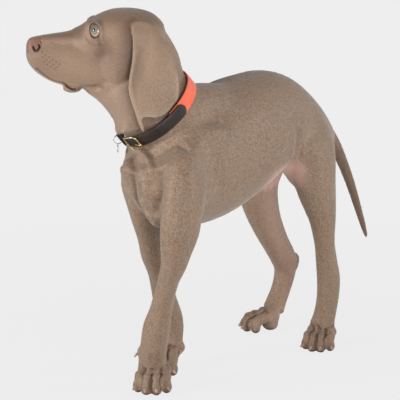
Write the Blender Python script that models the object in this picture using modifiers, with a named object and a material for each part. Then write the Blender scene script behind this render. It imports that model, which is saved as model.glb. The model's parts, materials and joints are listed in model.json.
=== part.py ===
"""A young Weimaraner that stands with its head turned to its right, as a still, life-size model.

Metres, +Z up. The trunk faces -Y, the dog's left side is +X and the floor is z = 0.
The flesh is built as a sculptor builds clay: lofted tubes and rounded masses are laid over one
another, fused by a voxel remesh, smoothed, thinned out, and then parted into the dog's named
pieces by thin cuts. The eyes, the nose leather, the ears and the collar are pieces of their own.
"""

import math

import bmesh
import bpy
import numpy as np
from mathutils import Matrix, Vector
from mathutils.bvhtree import BVHTree

# ---------------------------------------------------------------- driving dimensions
GAP = 0.0003  # air between pieces that touch, and the width of a parting cut
VOXEL = 0.0026  # grain of the fused clay
FLESH_TRIANGLES = 3400  # what the whole flesh is thinned to before it is parted
RING_SIDES = 22  # points round a lofted tube
FLOOR_FLAT = 0.0012  # how much of each pad the floor takes off

HEAD_ORIGIN = Vector((-0.097, -0.119, 0.519))  # midway between the eyes
HEAD_TURN = math.radians(-51)  # from straight ahead, towards the dog's right

EYE_RADIUS = 0.0105
EYE_PLACE = Vector((0.0250, 0.0016, -0.0010))  # the left eyeball's centre, in the head's frame

EAR_THICKNESS = 0.0030
COLLAR_CENTRE = Vector((-0.0258, -0.0745, 0.4080))
COLLAR_TO_NAPE = Vector((0.331, 0.661, 0.673))
COLLAR_TO_LEFT = Vector((0.914, -0.401, -0.056))
WEBBING_WIDTH = 0.0200
WEBBING_THICKNESS = 0.0020
STRAP_WIDTH = 0.0185
STRAP_THICKNESS = 0.0028
COLLAR_HALF_LENGTH = 0.0615  # from its centre to the nape, and to the throat
COLLAR_HALF_WIDTH = 0.0545
COLLAR_CLEARANCE = 0.0008  # between the neck and the collar's inside
COLLAR_HOLLOW = 0.0105  # half the width of the hollow the collar presses into the neck

COAT = (0.16, 0.115, 0.09)
IRIS = (0.35, 0.38, 0.33)
NOSE_LEATHER = (0.25, 0.11, 0.08)
WEBBING = (1.0, 0.12, 0.04)
STRAP_LEATHER = (0.035, 0.02, 0.014)
BRASS = (0.75, 0.55, 0.25)
STEEL = (0.5, 0.5, 0.5)


# ---------------------------------------------------------------- scene and materials
def clear_scene():
    for old in list(bpy.data.objects):
        bpy.data.objects.remove(old)


def material(name, colour, roughness, metallic=0.0):
    made = bpy.data.materials.new(name)
    made.use_nodes = True
    shader = made.node_tree.nodes["Principled BSDF"]
    shader.inputs["Base Color"].default_value = (*colour, 1.0)
    shader.inputs["Roughness"].default_value = roughness
    shader.inputs["Metallic"].default_value = metallic
    return made


def new_collection(name, shown):
    made = bpy.data.collections.new(name)
    bpy.context.scene.collection.children.link(made)
    made.hide_render = not shown
    return made


def new_object(name, mesh, collection):
    made = bpy.data.objects.new(name, mesh)
    collection.objects.link(made)
    return made


def mesh_from(work, name):
    """Turns a bmesh into a mesh and frees it."""
    made = bpy.data.meshes.new(name)
    work.to_mesh(made)
    work.free()
    return made


def evaluated_mesh(obj):
    bpy.context.view_layer.update()
    graph = bpy.context.evaluated_depsgraph_get()
    return bpy.data.meshes.new_from_object(obj.evaluated_get(graph))


def apply_modifiers(obj):
    made = evaluated_mesh(obj)
    obj.modifiers.clear()
    obj.data = made
    return obj


def mesh_tree(obj):
    work = bmesh.new()
    work.from_mesh(obj.data)
    tree = BVHTree.FromBMesh(work)
    work.free()
    return tree


# ---------------------------------------------------------------- clay
def smooth_between(stations, steps):
    """Catmull-Rom through rows of numbers, with some rows added between each two."""
    rows = []
    last = len(stations) - 1
    for i in range(last):
        before, here = stations[max(i - 1, 0)], stations[i]
        there, after = stations[i + 1], stations[min(i + 2, last)]
        for k in range(steps):
            t = k / steps
            row = []
            for a, b, c, d in zip(before, here, there, after):
                bend = (2 * a - 5 * b + 4 * c - d) * t * t + (3 * b - a - 3 * c + d) * t * t * t
                row.append(0.5 * (2 * b + (c - a) * t + bend))
            rows.append(tuple(row))
    rows.append(tuple(stations[last]))
    return rows


def loft(work, rings):
    """Adds a closed tube to the bmesh. A ring is a list of points; each end closes on a pole."""
    rows = [[work.verts.new(p) for p in ring] for ring in rings]
    count = len(rows[0])
    for first, second in zip(rows, rows[1:]):
        for i in range(count):
            j = (i + 1) % count
            work.faces.new((first[i], first[j], second[j], second[i]))
    for row, turned in ((rows[0], True), (rows[-1], False)):
        pole = work.verts.new(sum((v.co for v in row), Vector()) / count)
        for i in range(count):
            j = (i + 1) % count
            corners = (row[j], row[i], pole) if turned else (row[i], row[j], pole)
            work.faces.new(corners)


def ring_points(centre, side, up, across, above, below, squareness=1.0):
    """A ring round centre: across to each side, and above and below along up."""
    points = []
    for i in range(RING_SIDES):
        angle = 2 * math.pi * i / RING_SIDES
        c, s = math.cos(angle), math.sin(angle)
        c = math.copysign(abs(c) ** squareness, c)
        s = math.copysign(abs(s) ** squareness, s)
        points.append(centre + side * (across * c) + up * ((above if s > 0 else below) * s))
    return points


def body_loft(clay, stations, frame, squareness=1.0):
    """A tube along Y. A station is y, half-width, top, widest height, bottom."""
    side, up = Vector((1, 0, 0)), Vector((0, 0, 1))
    rings = []
    for y, across, top, middle, bottom in smooth_between(stations, 4):
        centre = Vector((0, y, middle))
        above, below = top - middle, middle - bottom
        points = ring_points(centre, side, up, across, above, below, squareness)
        rings.append([frame @ p for p in points])
    loft(clay, rings)


def limb_loft(clay, stations):
    """A tube through points. A station is x, y, z, half-width, front and back from the point."""
    rows = smooth_between(stations, 4)
    places = [Vector(row[:3]) for row in rows]
    side = Vector((1, 0, 0))
    rings = []
    for i, row in enumerate(rows):
        along = (places[min(i + 1, len(rows) - 1)] - places[max(i - 1, 0)]).normalized()
        across = (side - along * side.dot(along)).normalized()
        front = along.cross(across).normalized()
        if front.y > 0:
            front = -front
        rings.append(ring_points(places[i], across, front, *row[3:6]))
    loft(clay, rings)


def neck_loft(clay, stations):
    """A tube whose stations are a point of the throat, one of the nape, and a half-width."""
    rows = smooth_between(stations, 4)
    rings = []
    middles = [(Vector(row[:3]) + Vector(row[3:6])) / 2 for row in rows]
    for i, row in enumerate(rows):
        throat, nape = Vector(row[:3]), Vector(row[3:6])
        along = middles[min(i + 1, len(rows) - 1)] - middles[max(i - 1, 0)]
        up = nape - throat
        side = up.cross(along).normalized()
        reach = up.length / 2
        rings.append(ring_points(middles[i], side, up.normalized(), row[6], reach, reach))
    loft(clay, rings)


def mass(clay, centre, radii, turn=(0, 0, 0), frame=Matrix.Identity(4)):
    """A rounded mass, such as a muscle: an ellipsoid turned by three angles in degrees."""
    spin = Matrix.Rotation(math.radians(turn[2]), 4, "Z")
    spin = spin @ Matrix.Rotation(math.radians(turn[1]), 4, "Y")
    spin = spin @ Matrix.Rotation(math.radians(turn[0]), 4, "X")
    place = frame @ Matrix.Translation(centre) @ spin @ Matrix.Diagonal((*radii, 1.0))
    bmesh.ops.create_uvsphere(clay, u_segments=20, v_segments=14, radius=1.0, matrix=place)


def both_sides(centre):
    """A point of the left side and its mirror image."""
    return (Vector(centre), Vector((-centre[0], centre[1], centre[2])))


# ---------------------------------------------------------------- trunk, neck and tail
# y, half-width, top, widest height, bottom
TRUNK = (
    (-0.134, 0.018, 0.326, 0.308, 0.292),
    (-0.122, 0.042, 0.340, 0.308, 0.272),
    (-0.095, 0.058, 0.360, 0.312, 0.247),
    (-0.050, 0.065, 0.410, 0.318, 0.235),
    (0.000, 0.068, 0.424, 0.328, 0.233),
    (0.050, 0.072, 0.434, 0.338, 0.240),
    (0.100, 0.074, 0.437, 0.345, 0.256),
    (0.150, 0.068, 0.437, 0.355, 0.274),
    (0.200, 0.061, 0.423, 0.355, 0.284),
    (0.250, 0.050, 0.390, 0.345, 0.290),
    (0.295, 0.037, 0.351, 0.322, 0.286),
    (0.323, 0.021, 0.329, 0.310, 0.290),
)

# a point of the throat, the point of the nape across from it, and the half-width
NECK = (
    (-0.1068, -0.1269, 0.4268, -0.0244, -0.0602, 0.5160, 0.0460),
    (-0.0930, -0.1160, 0.4120, -0.0120, -0.0470, 0.4840, 0.0480),
    (-0.0520, -0.1300, 0.3840, -0.0050, -0.0270, 0.4400, 0.0480),
    (-0.0420, -0.1360, 0.3420, -0.0010, -0.0030, 0.4370, 0.0550),
    (-0.0260, -0.1450, 0.3220, 0.0000, 0.0500, 0.4290, 0.0550),
    (0.0000, -0.1200, 0.2900, 0.0000, 0.1000, 0.4200, 0.0550),
)

# x, y, z, half-width, front, back
TAIL = (
    (0.000, 0.284, 0.332, 0.016, 0.016, 0.016),
    (0.000, 0.316, 0.322, 0.014, 0.014, 0.014),
    (0.000, 0.341, 0.305, 0.012, 0.012, 0.012),
    (0.000, 0.370, 0.272, 0.0095, 0.0100, 0.0100),
    (0.000, 0.400, 0.227, 0.0080, 0.0085, 0.0085),
    (0.000, 0.430, 0.172, 0.0065, 0.0068, 0.0068),
    (0.000, 0.449, 0.136, 0.0048, 0.0050, 0.0050),
    (0.000, 0.455, 0.124, 0.0030, 0.0030, 0.0030),
)


def add_trunk(clay):
    here = Matrix.Identity(4)
    body_loft(clay, TRUNK, here)
    neck_loft(clay, NECK)
    limb_loft(clay, TAIL)
    # shoulder blades, upper arms, the breast and its keel
    mass(clay, (0.042, -0.034, 0.336), (0.019, 0.036, 0.058), (24, 16, 0))
    mass(clay, (-0.042, -0.022, 0.336), (0.019, 0.036, 0.058), (24, -16, 0))
    mass(clay, (0.052, -0.108, 0.305), (0.024, 0.034, 0.046), (-18, 0, 0))
    mass(clay, (-0.044, -0.076, 0.312), (0.022, 0.034, 0.044), (-18, 0, 0))
    mass(clay, (0.018, -0.112, 0.295), (0.018, 0.020, 0.040), (8, 0, 0))
    mass(clay, (-0.031, -0.121, 0.324), (0.021, 0.024, 0.040), (8, 0, 0))
    mass(clay, (0.002, -0.090, 0.262), (0.022, 0.036, 0.022))
    # haunches
    mass(clay, (0.042, 0.208, 0.312), (0.031, 0.056, 0.060), (-10, 0, 0))
    mass(clay, (-0.044, 0.225, 0.310), (0.031, 0.056, 0.058), (-6, 0, 0))
    mass(clay, (0.026, 0.262, 0.312), (0.022, 0.030, 0.036))
    mass(clay, (-0.028, 0.270, 0.308), (0.022, 0.030, 0.036))


# ---------------------------------------------------------------- legs
# x, y, z, half-width, front, back
FORELEG_LEFT = (
    (0.052, -0.110, 0.325, 0.0215, 0.036, 0.045),
    (0.053, -0.120, 0.285, 0.0235, 0.036, 0.040),
    (0.051, -0.124, 0.250, 0.0230, 0.036, 0.038),
    (0.048, -0.128, 0.222, 0.0205, 0.026, 0.029),
    (0.043, -0.127, 0.200, 0.0180, 0.0195, 0.0205),
    (0.033, -0.124, 0.180, 0.0158, 0.0165, 0.0165),
    (0.022, -0.119, 0.156, 0.0152, 0.0155, 0.0155),
    (0.007, -0.110, 0.124, 0.0168, 0.0165, 0.0165),
    (-0.005, -0.104, 0.098, 0.0200, 0.0185, 0.0190),
    (-0.014, -0.098, 0.073, 0.0200, 0.0180, 0.0190),
    (-0.021, -0.092, 0.050, 0.0205, 0.0180, 0.0175),
    (-0.026, -0.086, 0.030, 0.0215, 0.0170, 0.0165),
)
FORELEG_RIGHT = (
    (-0.051, -0.088, 0.315, 0.0205, 0.030, 0.045),
    (-0.053, -0.074, 0.272, 0.0210, 0.027, 0.040),
    (-0.054, -0.058, 0.240, 0.0205, 0.028, 0.034),
    (-0.055, -0.050, 0.212, 0.0188, 0.022, 0.025),
    (-0.056, -0.044, 0.186, 0.0180, 0.0190, 0.0200),
    (-0.055, -0.032, 0.156, 0.0160, 0.0165, 0.0165),
    (-0.057, -0.016, 0.114, 0.0178, 0.0175, 0.0175),
    (-0.059, -0.002, 0.085, 0.0200, 0.0180, 0.0185),
    (-0.061, 0.005, 0.064, 0.0200, 0.0180, 0.0180),
    (-0.064, 0.005, 0.045, 0.0205, 0.0175, 0.0170),
    (-0.067, 0.001, 0.030, 0.0215, 0.0170, 0.0165),
)
HINDLEG_LEFT = (
    (0.046, 0.220, 0.330, 0.0270, 0.055, 0.048),
    (0.057, 0.206, 0.295, 0.0285, 0.054, 0.046),
    (0.065, 0.199, 0.264, 0.0265, 0.041, 0.040),
    (0.069, 0.201, 0.240, 0.0240, 0.031, 0.035),
    (0.0715, 0.208, 0.210, 0.0195, 0.0220, 0.0265),
    (0.0710, 0.216, 0.172, 0.0155, 0.0165, 0.0180),
    (0.0685, 0.226, 0.140, 0.0160, 0.0170, 0.0195),
    (0.065, 0.238, 0.110, 0.0175, 0.0190, 0.0205),
    (0.063, 0.241, 0.085, 0.0172, 0.0180, 0.0185),
    (0.060, 0.240, 0.060, 0.0172, 0.0168, 0.0168),
    (0.056, 0.238, 0.040, 0.0185, 0.0165, 0.0165),
    (0.053, 0.240, 0.028, 0.0195, 0.0160, 0.0155),
)
HINDLEG_RIGHT = (
    (-0.046, 0.238, 0.325, 0.0270, 0.052, 0.050),
    (-0.055, 0.235, 0.285, 0.0280, 0.050, 0.055),
    (-0.062, 0.231, 0.250, 0.0260, 0.042, 0.053),
    (-0.067, 0.240, 0.214, 0.0225, 0.032, 0.047),
    (-0.0655, 0.2575, 0.174, 0.0178, 0.0250, 0.0380),
    (-0.063, 0.284, 0.136, 0.0155, 0.0225, 0.0290),
    (-0.061, 0.308, 0.106, 0.0168, 0.0245, 0.0225),
    (-0.063, 0.311, 0.084, 0.0165, 0.0200, 0.0170),
    (-0.0655, 0.3035, 0.060, 0.0158, 0.0160, 0.0150),
    (-0.067, 0.2915, 0.040, 0.0168, 0.0155, 0.0150),
    (-0.066, 0.283, 0.028, 0.0180, 0.0155, 0.0150),
)
HOCK_POINTS = ((0.0640, 0.2540, 0.110), (-0.0595, 0.3300, 0.099))
ELBOW_POINTS = ((0.052, -0.095, 0.246), (-0.054, -0.040, 0.238))


def add_legs(clay):
    for stations in (FORELEG_LEFT, FORELEG_RIGHT, HINDLEG_LEFT, HINDLEG_RIGHT):
        limb_loft(clay, stations)
    for place in HOCK_POINTS:
        mass(clay, place, (0.0090, 0.0110, 0.0180), (-20, 0, 0))
    for place in ELBOW_POINTS:
        mass(clay, place, (0.0110, 0.0120, 0.0170))


# ---------------------------------------------------------------- paws
class Paw:
    """Where a paw's main pad stands, the way its toes point, and how large it is."""

    def __init__(self, name, place, turn, size, dewclaw=None):
        self.name = name
        self.size = size
        self.dewclaw = dewclaw  # where it springs from the leg, and the side it points to
        spin = Matrix.Rotation(math.radians(turn), 4, "Z")  # towards the dog's left
        grow = Matrix.Diagonal((size, size, size, 1.0))
        self.frame = Matrix.Translation((*place, 0.0)) @ spin @ grow


PAWS = (
    Paw("forepaw_left", (-0.027, -0.079), 30, 1.0, ((-0.036, -0.100, 0.056), -1)),
    Paw("forepaw_right", (-0.0692, -0.0015), 24, 1.0, ((-0.045, 0.008, 0.036), 1)),
    Paw("hindpaw_left", (0.0515, 0.244), 20, 0.93),
    Paw("hindpaw_right", (-0.0650, 0.274), -42, 0.93),
)
# each toe: across, and how far forward its tip is from the main pad, for a full-size paw
TOES = ((-0.0205, 0.0310), (-0.0074, 0.0430), (0.0074, 0.0430), (0.0205, 0.0310))
CLAW_SIDES = 5


def add_paw(clay, paw):
    mass(clay, (0, -0.003, 0.026), (0.0225, 0.019, 0.018), frame=paw.frame)
    mass(clay, (0, -0.001, 0.0120), (0.0185, 0.0145, 0.0135), frame=paw.frame)
    for across, forward in TOES:
        back = 0.80 * across
        knuckle = 0.92 * across
        mass(clay, (back, 0.014 - 0.6 * forward, 0.0255), (0.0088, 0.014, 0.0100), frame=paw.frame)
        mass(clay, (knuckle, 0.008 - forward, 0.0225), (0.0082, 0.011, 0.0090), frame=paw.frame)
        mass(clay, (across, -forward, 0.0105), (0.0082, 0.0092, 0.0118), frame=paw.frame)


def claw(paw, across, forward, height=0.0115, droop=0.0045, length=0.0105):
    """A blunt curved claw that starts inside the toe and ends in front of it."""
    work = bmesh.new()
    splay = 1.0 + 0.28 * abs(across) / 0.0205
    rings = []
    for k, radius in ((0.0, 0.0026), (0.45, 0.0023), (0.8, 0.0015), (1.0, 0.0006)):
        reach = 0.0045 + length * k
        centre = Vector((across * (1 + (splay - 1) * k), -forward - reach, height - droop * k * k))
        ring = []
        for i in range(CLAW_SIDES):
            angle = 2 * math.pi * i / CLAW_SIDES
            ring.append(centre + Vector((math.cos(angle), 0, math.sin(angle))) * radius)
        rings.append([paw.frame @ p for p in ring])
    loft(work, rings)
    bmesh.ops.recalc_face_normals(work, faces=work.faces)
    return mesh_from(work, "claw")


def dewclaw_toe(clay, paw):
    place, _ = paw.dewclaw
    mass(clay, place, (0.0068, 0.0072, 0.0095))


def dewclaw(paw):
    place, way = paw.dewclaw
    work = bmesh.new()
    rings = []
    for k, radius in ((0.0, 0.0022), (0.45, 0.0020), (0.8, 0.0013), (1.0, 0.0006)):
        centre = Vector(place) + Vector((way * (0.003 + 0.003 * k), -0.004 - 0.004 * k, 0.0))
        centre.z -= 0.003 + 0.0085 * k
        ring = []
        for i in range(CLAW_SIDES):
            angle = 2 * math.pi * i / CLAW_SIDES
            ring.append(centre + Vector((math.cos(angle), math.sin(angle), 0)) * radius)
        rings.append(ring)
    loft(work, rings)
    bmesh.ops.recalc_face_normals(work, faces=work.faces)
    return mesh_from(work, "claw")


# ---------------------------------------------------------------- head
HEAD_FRAME = Matrix.Translation(HEAD_ORIGIN) @ Matrix.Rotation(HEAD_TURN, 4, "Z")

# y, half-width, top, widest height, bottom, in the head's frame
SKULL = (
    (-0.032, 0.0200, 0.0000, -0.020, -0.050),
    (-0.022, 0.0250, 0.0045, -0.020, -0.062),
    (-0.010, 0.0310, 0.0125, -0.018, -0.072),
    (0.004, 0.0365, 0.0205, -0.014, -0.078),
    (0.022, 0.0430, 0.0270, -0.010, -0.080),
    (0.042, 0.0465, 0.0285, -0.008, -0.076),
    (0.062, 0.0455, 0.0262, -0.008, -0.066),
    (0.080, 0.0390, 0.0200, -0.008, -0.052),
    (0.095, 0.0250, 0.0060, -0.010, -0.034),
)
BRIDGE = (
    (-0.0985, 0.0085, -0.0150, -0.021, -0.032),
    (-0.0940, 0.0125, -0.0108, -0.020, -0.040),
    (-0.0800, 0.0145, -0.0090, -0.020, -0.045),
    (-0.0600, 0.0160, -0.0068, -0.019, -0.045),
    (-0.0400, 0.0185, -0.0040, -0.018, -0.045),
    (-0.0240, 0.0195, 0.0020, -0.016, -0.045),
    (-0.0050, 0.0235, 0.0130, -0.014, -0.045),
)
LIPS = (
    (-0.0990, 0.0085, -0.0240, -0.034, -0.0410),
    (-0.0965, 0.0150, -0.0200, -0.036, -0.0480),
    (-0.0900, 0.0200, -0.0170, -0.038, -0.0570),
    (-0.0800, 0.0235, -0.0155, -0.041, -0.0660),
    (-0.0640, 0.0265, -0.0150, -0.045, -0.0755),
    (-0.0480, 0.0285, -0.0150, -0.048, -0.0800),
    (-0.0340, 0.0300, -0.0150, -0.049, -0.0830),
    (-0.0200, 0.0315, -0.0150, -0.050, -0.0850),
    (-0.0050, 0.0345, -0.0150, -0.050, -0.0860),
    (0.0150, 0.0365, -0.0150, -0.048, -0.0850),
    (0.0350, 0.0310, -0.0200, -0.046, -0.0780),
)


def add_head(clay):
    frame = HEAD_FRAME
    body_loft(clay, SKULL, frame)
    body_loft(clay, BRIDGE, frame, 0.80)
    body_loft(clay, LIPS, frame, 0.88)
    for centre in both_sides((0.0300, 0.026, -0.0250)):  # cheek bones
        mass(clay, centre, (0.0125, 0.034, 0.0160), frame=frame)
    for centre in both_sides((0.0330, 0.032, -0.0470)):  # jaw muscles
        mass(clay, centre, (0.0150, 0.026, 0.0280), frame=frame)
    for centre in both_sides((0.0205, -0.0030, 0.0060)):  # brows
        mass(clay, centre, (0.0105, 0.0120, 0.0075), (0, 20, 0), frame=frame)
    for centre in both_sides((0.0170, -0.036, -0.0835)):  # the lower lip's fold
        mass(clay, centre, (0.0085, 0.0150, 0.0062), frame=frame)


# ---------------------------------------------------------------- fusing and parting
def rounds_of_smoothing(places):
    """Many rounds for the broad trunk, few for the head and the paws."""
    height = np.clip((places[:, 2] - 0.20) / 0.08, 0, 1)
    tail = np.clip((places[:, 1] - 0.31) / 0.03, 0, 1)
    away = np.linalg.norm(places - np.array(HEAD_ORIGIN) - (0.02, 0.02, -0.02), axis=1)
    headless = np.clip((away - 0.085) / 0.03, 0, 1)
    paw = np.clip((places[:, 2] - 0.035) / 0.02, 0, 1)
    return 3 + 5 * paw * headless + 26 * height * headless * (1 - tail)


def relax(mesh):
    count = len(mesh.vertices)
    places = np.empty(count * 3)
    mesh.vertices.foreach_get("co", places)
    places = places.reshape(-1, 3)
    edges = np.empty(len(mesh.edges) * 2, dtype=np.int64)
    mesh.edges.foreach_get("vertices", edges)
    one, other = edges.reshape(-1, 2).T
    degree = np.bincount(edges, minlength=count)[:, None]
    rounds = rounds_of_smoothing(places)
    for done in range(int(rounds.max())):
        total = np.zeros_like(places)
        for axis in range(3):
            total[:, axis] += np.bincount(one, places[other, axis], count)
            total[:, axis] += np.bincount(other, places[one, axis], count)
        share = 0.5 * np.clip(rounds - done, 0, 1)[:, None]
        places += share * (total / degree - places)
    mesh.vertices.foreach_set("co", places.ravel())
    mesh.update()


def collar_axes():
    """From the collar's centre to the nape, to the left side, and up its axis to the head."""
    nape = COLLAR_TO_NAPE.normalized()
    left = (COLLAR_TO_LEFT - nape * COLLAR_TO_LEFT.dot(nape)).normalized()
    axis = nape.cross(left)
    return nape, left, -axis if axis.z < 0 else axis


def collar_radius(angle):
    """The collar is an oval, longer from nape to throat."""
    return 1.0 / np.hypot(np.cos(angle) / COLLAR_HALF_LENGTH, np.sin(angle) / COLLAR_HALF_WIDTH)


def press_neck(mesh):
    """Presses the flesh in under the collar, so that the skin bulges a little on both sides."""
    nape, left, axis = (np.array(way) for way in collar_axes())
    places = np.empty(len(mesh.vertices) * 3)
    mesh.vertices.foreach_get("co", places)
    places = places.reshape(-1, 3)
    away = places - np.array(COLLAR_CENTRE)
    height = away @ axis
    out = away - height[:, None] * axis
    reach = np.maximum(np.linalg.norm(out, axis=1), 1e-6)
    beyond = np.clip(np.abs(height) - COLLAR_HOLLOW, 0, None)
    limit = collar_radius(np.arctan2(out @ left, out @ nape)) - COLLAR_CLEARANCE + 60 * beyond**2
    near = (np.abs(height) < 0.035) & (reach < 0.10)
    share = np.where(near, np.minimum(limit / reach, 1.0), 1.0)
    places -= out * (1 - share)[:, None]
    mesh.vertices.foreach_set("co", places.ravel())
    mesh.update()


def fuse(clay, name, collection):
    """Fuses the clay into one body, smooths it, thins it out and flattens its pads."""
    body = new_object(name, mesh_from(clay, name), collection)
    fused = body.modifiers.new("fuse", "REMESH")
    fused.mode = "VOXEL"
    fused.voxel_size = VOXEL
    apply_modifiers(body)
    relax(body.data)
    press_neck(body.data)
    body.data.calc_loop_triangles()
    thin = body.modifiers.new("thin", "DECIMATE")
    thin.ratio = FLESH_TRIANGLES / len(body.data.loop_triangles)
    apply_modifiers(body)
    return body


def collar_room():
    """A ring that holds the collar with its buckle: the flesh gives way to it."""
    nape, left, axis = collar_axes()
    profile = ((-1, 0.0112, -0.0003), (1, 0.0112, -0.0003), (1, 0.0150, 0.0040))
    profile += ((1, 0.0170, 0.0150), (-1, 0.0170, 0.0150), (-1, 0.0150, 0.0040))
    steps = 30
    work = bmesh.new()
    rows = []
    for k in range(steps):
        angle = 2 * math.pi * k / steps
        way = nape * math.cos(angle) + left * math.sin(angle)
        row = []
        for side, height, out in profile:
            place = COLLAR_CENTRE + axis * (side * height) + way * (collar_radius(angle) + out)
            row.append(work.verts.new(place))
        rows.append(row)
    for row, after in zip(rows, rows[1:] + rows[:1]):
        for i in range(len(profile)):
            j = (i + 1) % len(profile)
            work.faces.new((row[i], row[j], after[j], after[i]))
    bmesh.ops.recalc_face_normals(work, faces=work.faces)
    return mesh_from(work, "collar room")


def boolean(obj, other, operation, folded=False):
    cut = obj.modifiers.new("cut", "BOOLEAN")
    cut.operation = operation
    cut.solver = "EXACT"
    cut.use_self = folded
    cut.object = other
    return apply_modifiers(obj)


def cutter(mesh, cutters):
    made = new_object("cutter", mesh, cutters)
    made.hide_render = True
    made.display_type = "WIRE"
    return made


def box_mesh(size, frame):
    work = bmesh.new()
    bmesh.ops.create_cube(work, size=1.0, matrix=frame @ Matrix.Diagonal((*size, 1.0)))
    return mesh_from(work, "box")


def ball_mesh(radii, centre, rings=8):
    work = bmesh.new()
    place = Matrix.Translation(centre) @ Matrix.Diagonal((*radii, 1.0))
    bmesh.ops.create_uvsphere(work, u_segments=2 * rings, v_segments=rings, radius=1.0, matrix=place)
    return mesh_from(work, "ball")


def disc_mesh(centre, normal, reach, thickness):
    work = bmesh.new()
    place = Matrix.Translation(centre) @ Vector(normal).to_track_quat("Z", "Y").to_matrix().to_4x4()
    bmesh.ops.create_cone(
        work,
        cap_ends=True,
        cap_tris=False,
        segments=16,
        radius1=reach,
        radius2=reach,
        depth=thickness,
        matrix=place,
    )
    return mesh_from(work, "disc")


def carve(body, name, mesh, grown_mesh, collection, cutters):
    """Takes what lies inside a closed shape out of the body, as a piece of its own."""
    piece = new_object(name, body.data.copy(), collection)
    boolean(piece, cutter(mesh, cutters), "INTERSECT", folded=True)
    boolean(body, cutter(grown_mesh, cutters), "DIFFERENCE", folded=True)
    return piece


def loose_parts(obj):
    """The separate shells of a mesh, as bmeshes, the largest first."""
    work = bmesh.new()
    work.from_mesh(obj.data)
    seen = set()
    shells = []
    for seed in work.verts:
        if seed in seen:
            continue
        shell = {seed}
        edge = [seed]
        while edge:
            here = edge.pop()
            for link in here.link_edges:
                there = link.other_vert(here)
                if there not in shell:
                    shell.add(there)
                    edge.append(there)
        seen |= shell
        shells.append(shell)
    parts = []
    for shell in sorted(shells, key=len, reverse=True):
        if len(shell) < 30:
            continue
        part = bmesh.new()
        twin = {v: part.verts.new(v.co) for v in shell}
        for face in work.faces:
            if face.verts[0] in shell:
                part.faces.new([twin[v] for v in face.verts])
        parts.append(part)
    work.free()
    return parts


# a shape that takes each shoulder and thigh out of the trunk: centre and radii
LENSES = {
    "shoulder_left": ((0.078, -0.092, 0.318), (0.046, 0.062, 0.084)),
    "shoulder_right": ((-0.078, -0.070, 0.314), (0.046, 0.062, 0.084)),
    "thigh_left": ((0.080, 0.204, 0.300), (0.060, 0.088, 0.086)),
    "thigh_right": ((-0.074, 0.228, 0.298), (0.058, 0.090, 0.090)),
}

# a thin disc cuts the flesh at each of these: centre, normal, reach
CUTS = (
    ((-0.0560, -0.0850, 0.4500), (0.50, 0.44, -0.74), 0.085),  # head and neck
    ((-0.0252, -0.0713, 0.4040), (0.233, 0.634, -0.737), 0.074),  # neck and trunk
    ((0.0, 0.347, 0.300), (0.0, 0.62, -0.78), 0.026),  # tail
    ((0.051, -0.125, 0.2340), (-0.15, 0.0, 1.0), 0.047),  # elbows
    ((-0.056, -0.060, 0.2260), (0.0, 0.0, 1.0), 0.047),
    ((-0.0215, -0.092, 0.0560), (-0.25, 0.20, 1.0), 0.040),  # wrists
    ((-0.0620, 0.005, 0.0560), (0.0, 0.10, 1.0), 0.030),
    ((0.0680, 0.228, 0.1420), (0.0, -0.40, 1.0), 0.045),  # hocks
    ((-0.0630, 0.294, 0.1280), (0.0, -0.60, 0.80), 0.045),
)

# a point inside each piece, which gives the piece its name
PLACES = {
    "head": (-0.085, -0.110, 0.500),
    "neck": (-0.028, -0.077, 0.413),
    "trunk": (0.0, 0.080, 0.340),
    "tail": (0.0, 0.390, 0.240),
    "forearm_left": (0.025, -0.120, 0.160),
    "forearm_right": (-0.055, -0.030, 0.150),
    "forepaw_left": (-0.028, -0.090, 0.020),
    "forepaw_right": (-0.062, -0.010, 0.020),
    "shank_left": (0.071, 0.210, 0.190),
    "shank_right": (-0.066, 0.260, 0.170),
    "hindpaw_left": (0.058, 0.240, 0.060),
    "hindpaw_right": (-0.066, 0.290, 0.050),
}


def part_body(body, dog, cutters):
    """Cuts the fused flesh into the dog's pieces and names them."""
    pieces = {}
    for name, (centre, radii) in LENSES.items():
        grown = [r + GAP for r in radii]
        inside, outside = ball_mesh(radii, centre), ball_mesh(grown, centre)
        pieces[name] = carve(body, name, inside, outside, dog, cutters)
    for centre, normal, reach in CUTS:
        boolean(body, cutter(disc_mesh(centre, normal, reach, GAP), cutters), "DIFFERENCE")
    for part in loose_parts(body):
        middle = sum((v.co for v in part.verts), Vector()) / len(part.verts)
        free = [name for name in PLACES if name not in pieces]
        name = min(free, key=lambda n: (Vector(PLACES[n]) - middle).length)
        pieces[name] = new_object(name, mesh_from(part, name), dog)
        print(name, len(pieces[name].data.polygons), tuple(round(c, 3) for c in middle))
    bpy.data.objects.remove(body)
    return pieces


def keep_largest(obj):
    parts = loose_parts(obj)
    obj.data = mesh_from(parts[0], obj.name)
    for spare in parts[1:]:
        spare.free()


# ---------------------------------------------------------------- eyes, nose and ears
NOSE_BOX = ((0.060, 0.030, 0.0270), (0, -0.0935, -0.0195), 12)  # size, centre, tilt in degrees


def add_eyes(head, dog, cutters):
    for side, centre in zip(("left", "right"), both_sides(EYE_PLACE)):
        place = HEAD_FRAME @ centre
        pocket = ball_mesh([EYE_RADIUS + GAP] * 3, place, 8)
        boolean(head, cutter(pocket, cutters), "DIFFERENCE")
        new_object("eye_" + side, ball_mesh([EYE_RADIUS] * 3, place, 8), dog)


def add_nose(head, dog, cutters):
    size, centre, tilt = NOSE_BOX
    frame = HEAD_FRAME @ Matrix.Translation(centre) @ Matrix.Rotation(math.radians(tilt), 4, "X")
    inside = box_mesh(size, frame)
    outside = box_mesh([s + 2 * GAP for s in size], frame)
    return carve(head, "nose", inside, outside, dog, cutters)


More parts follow.
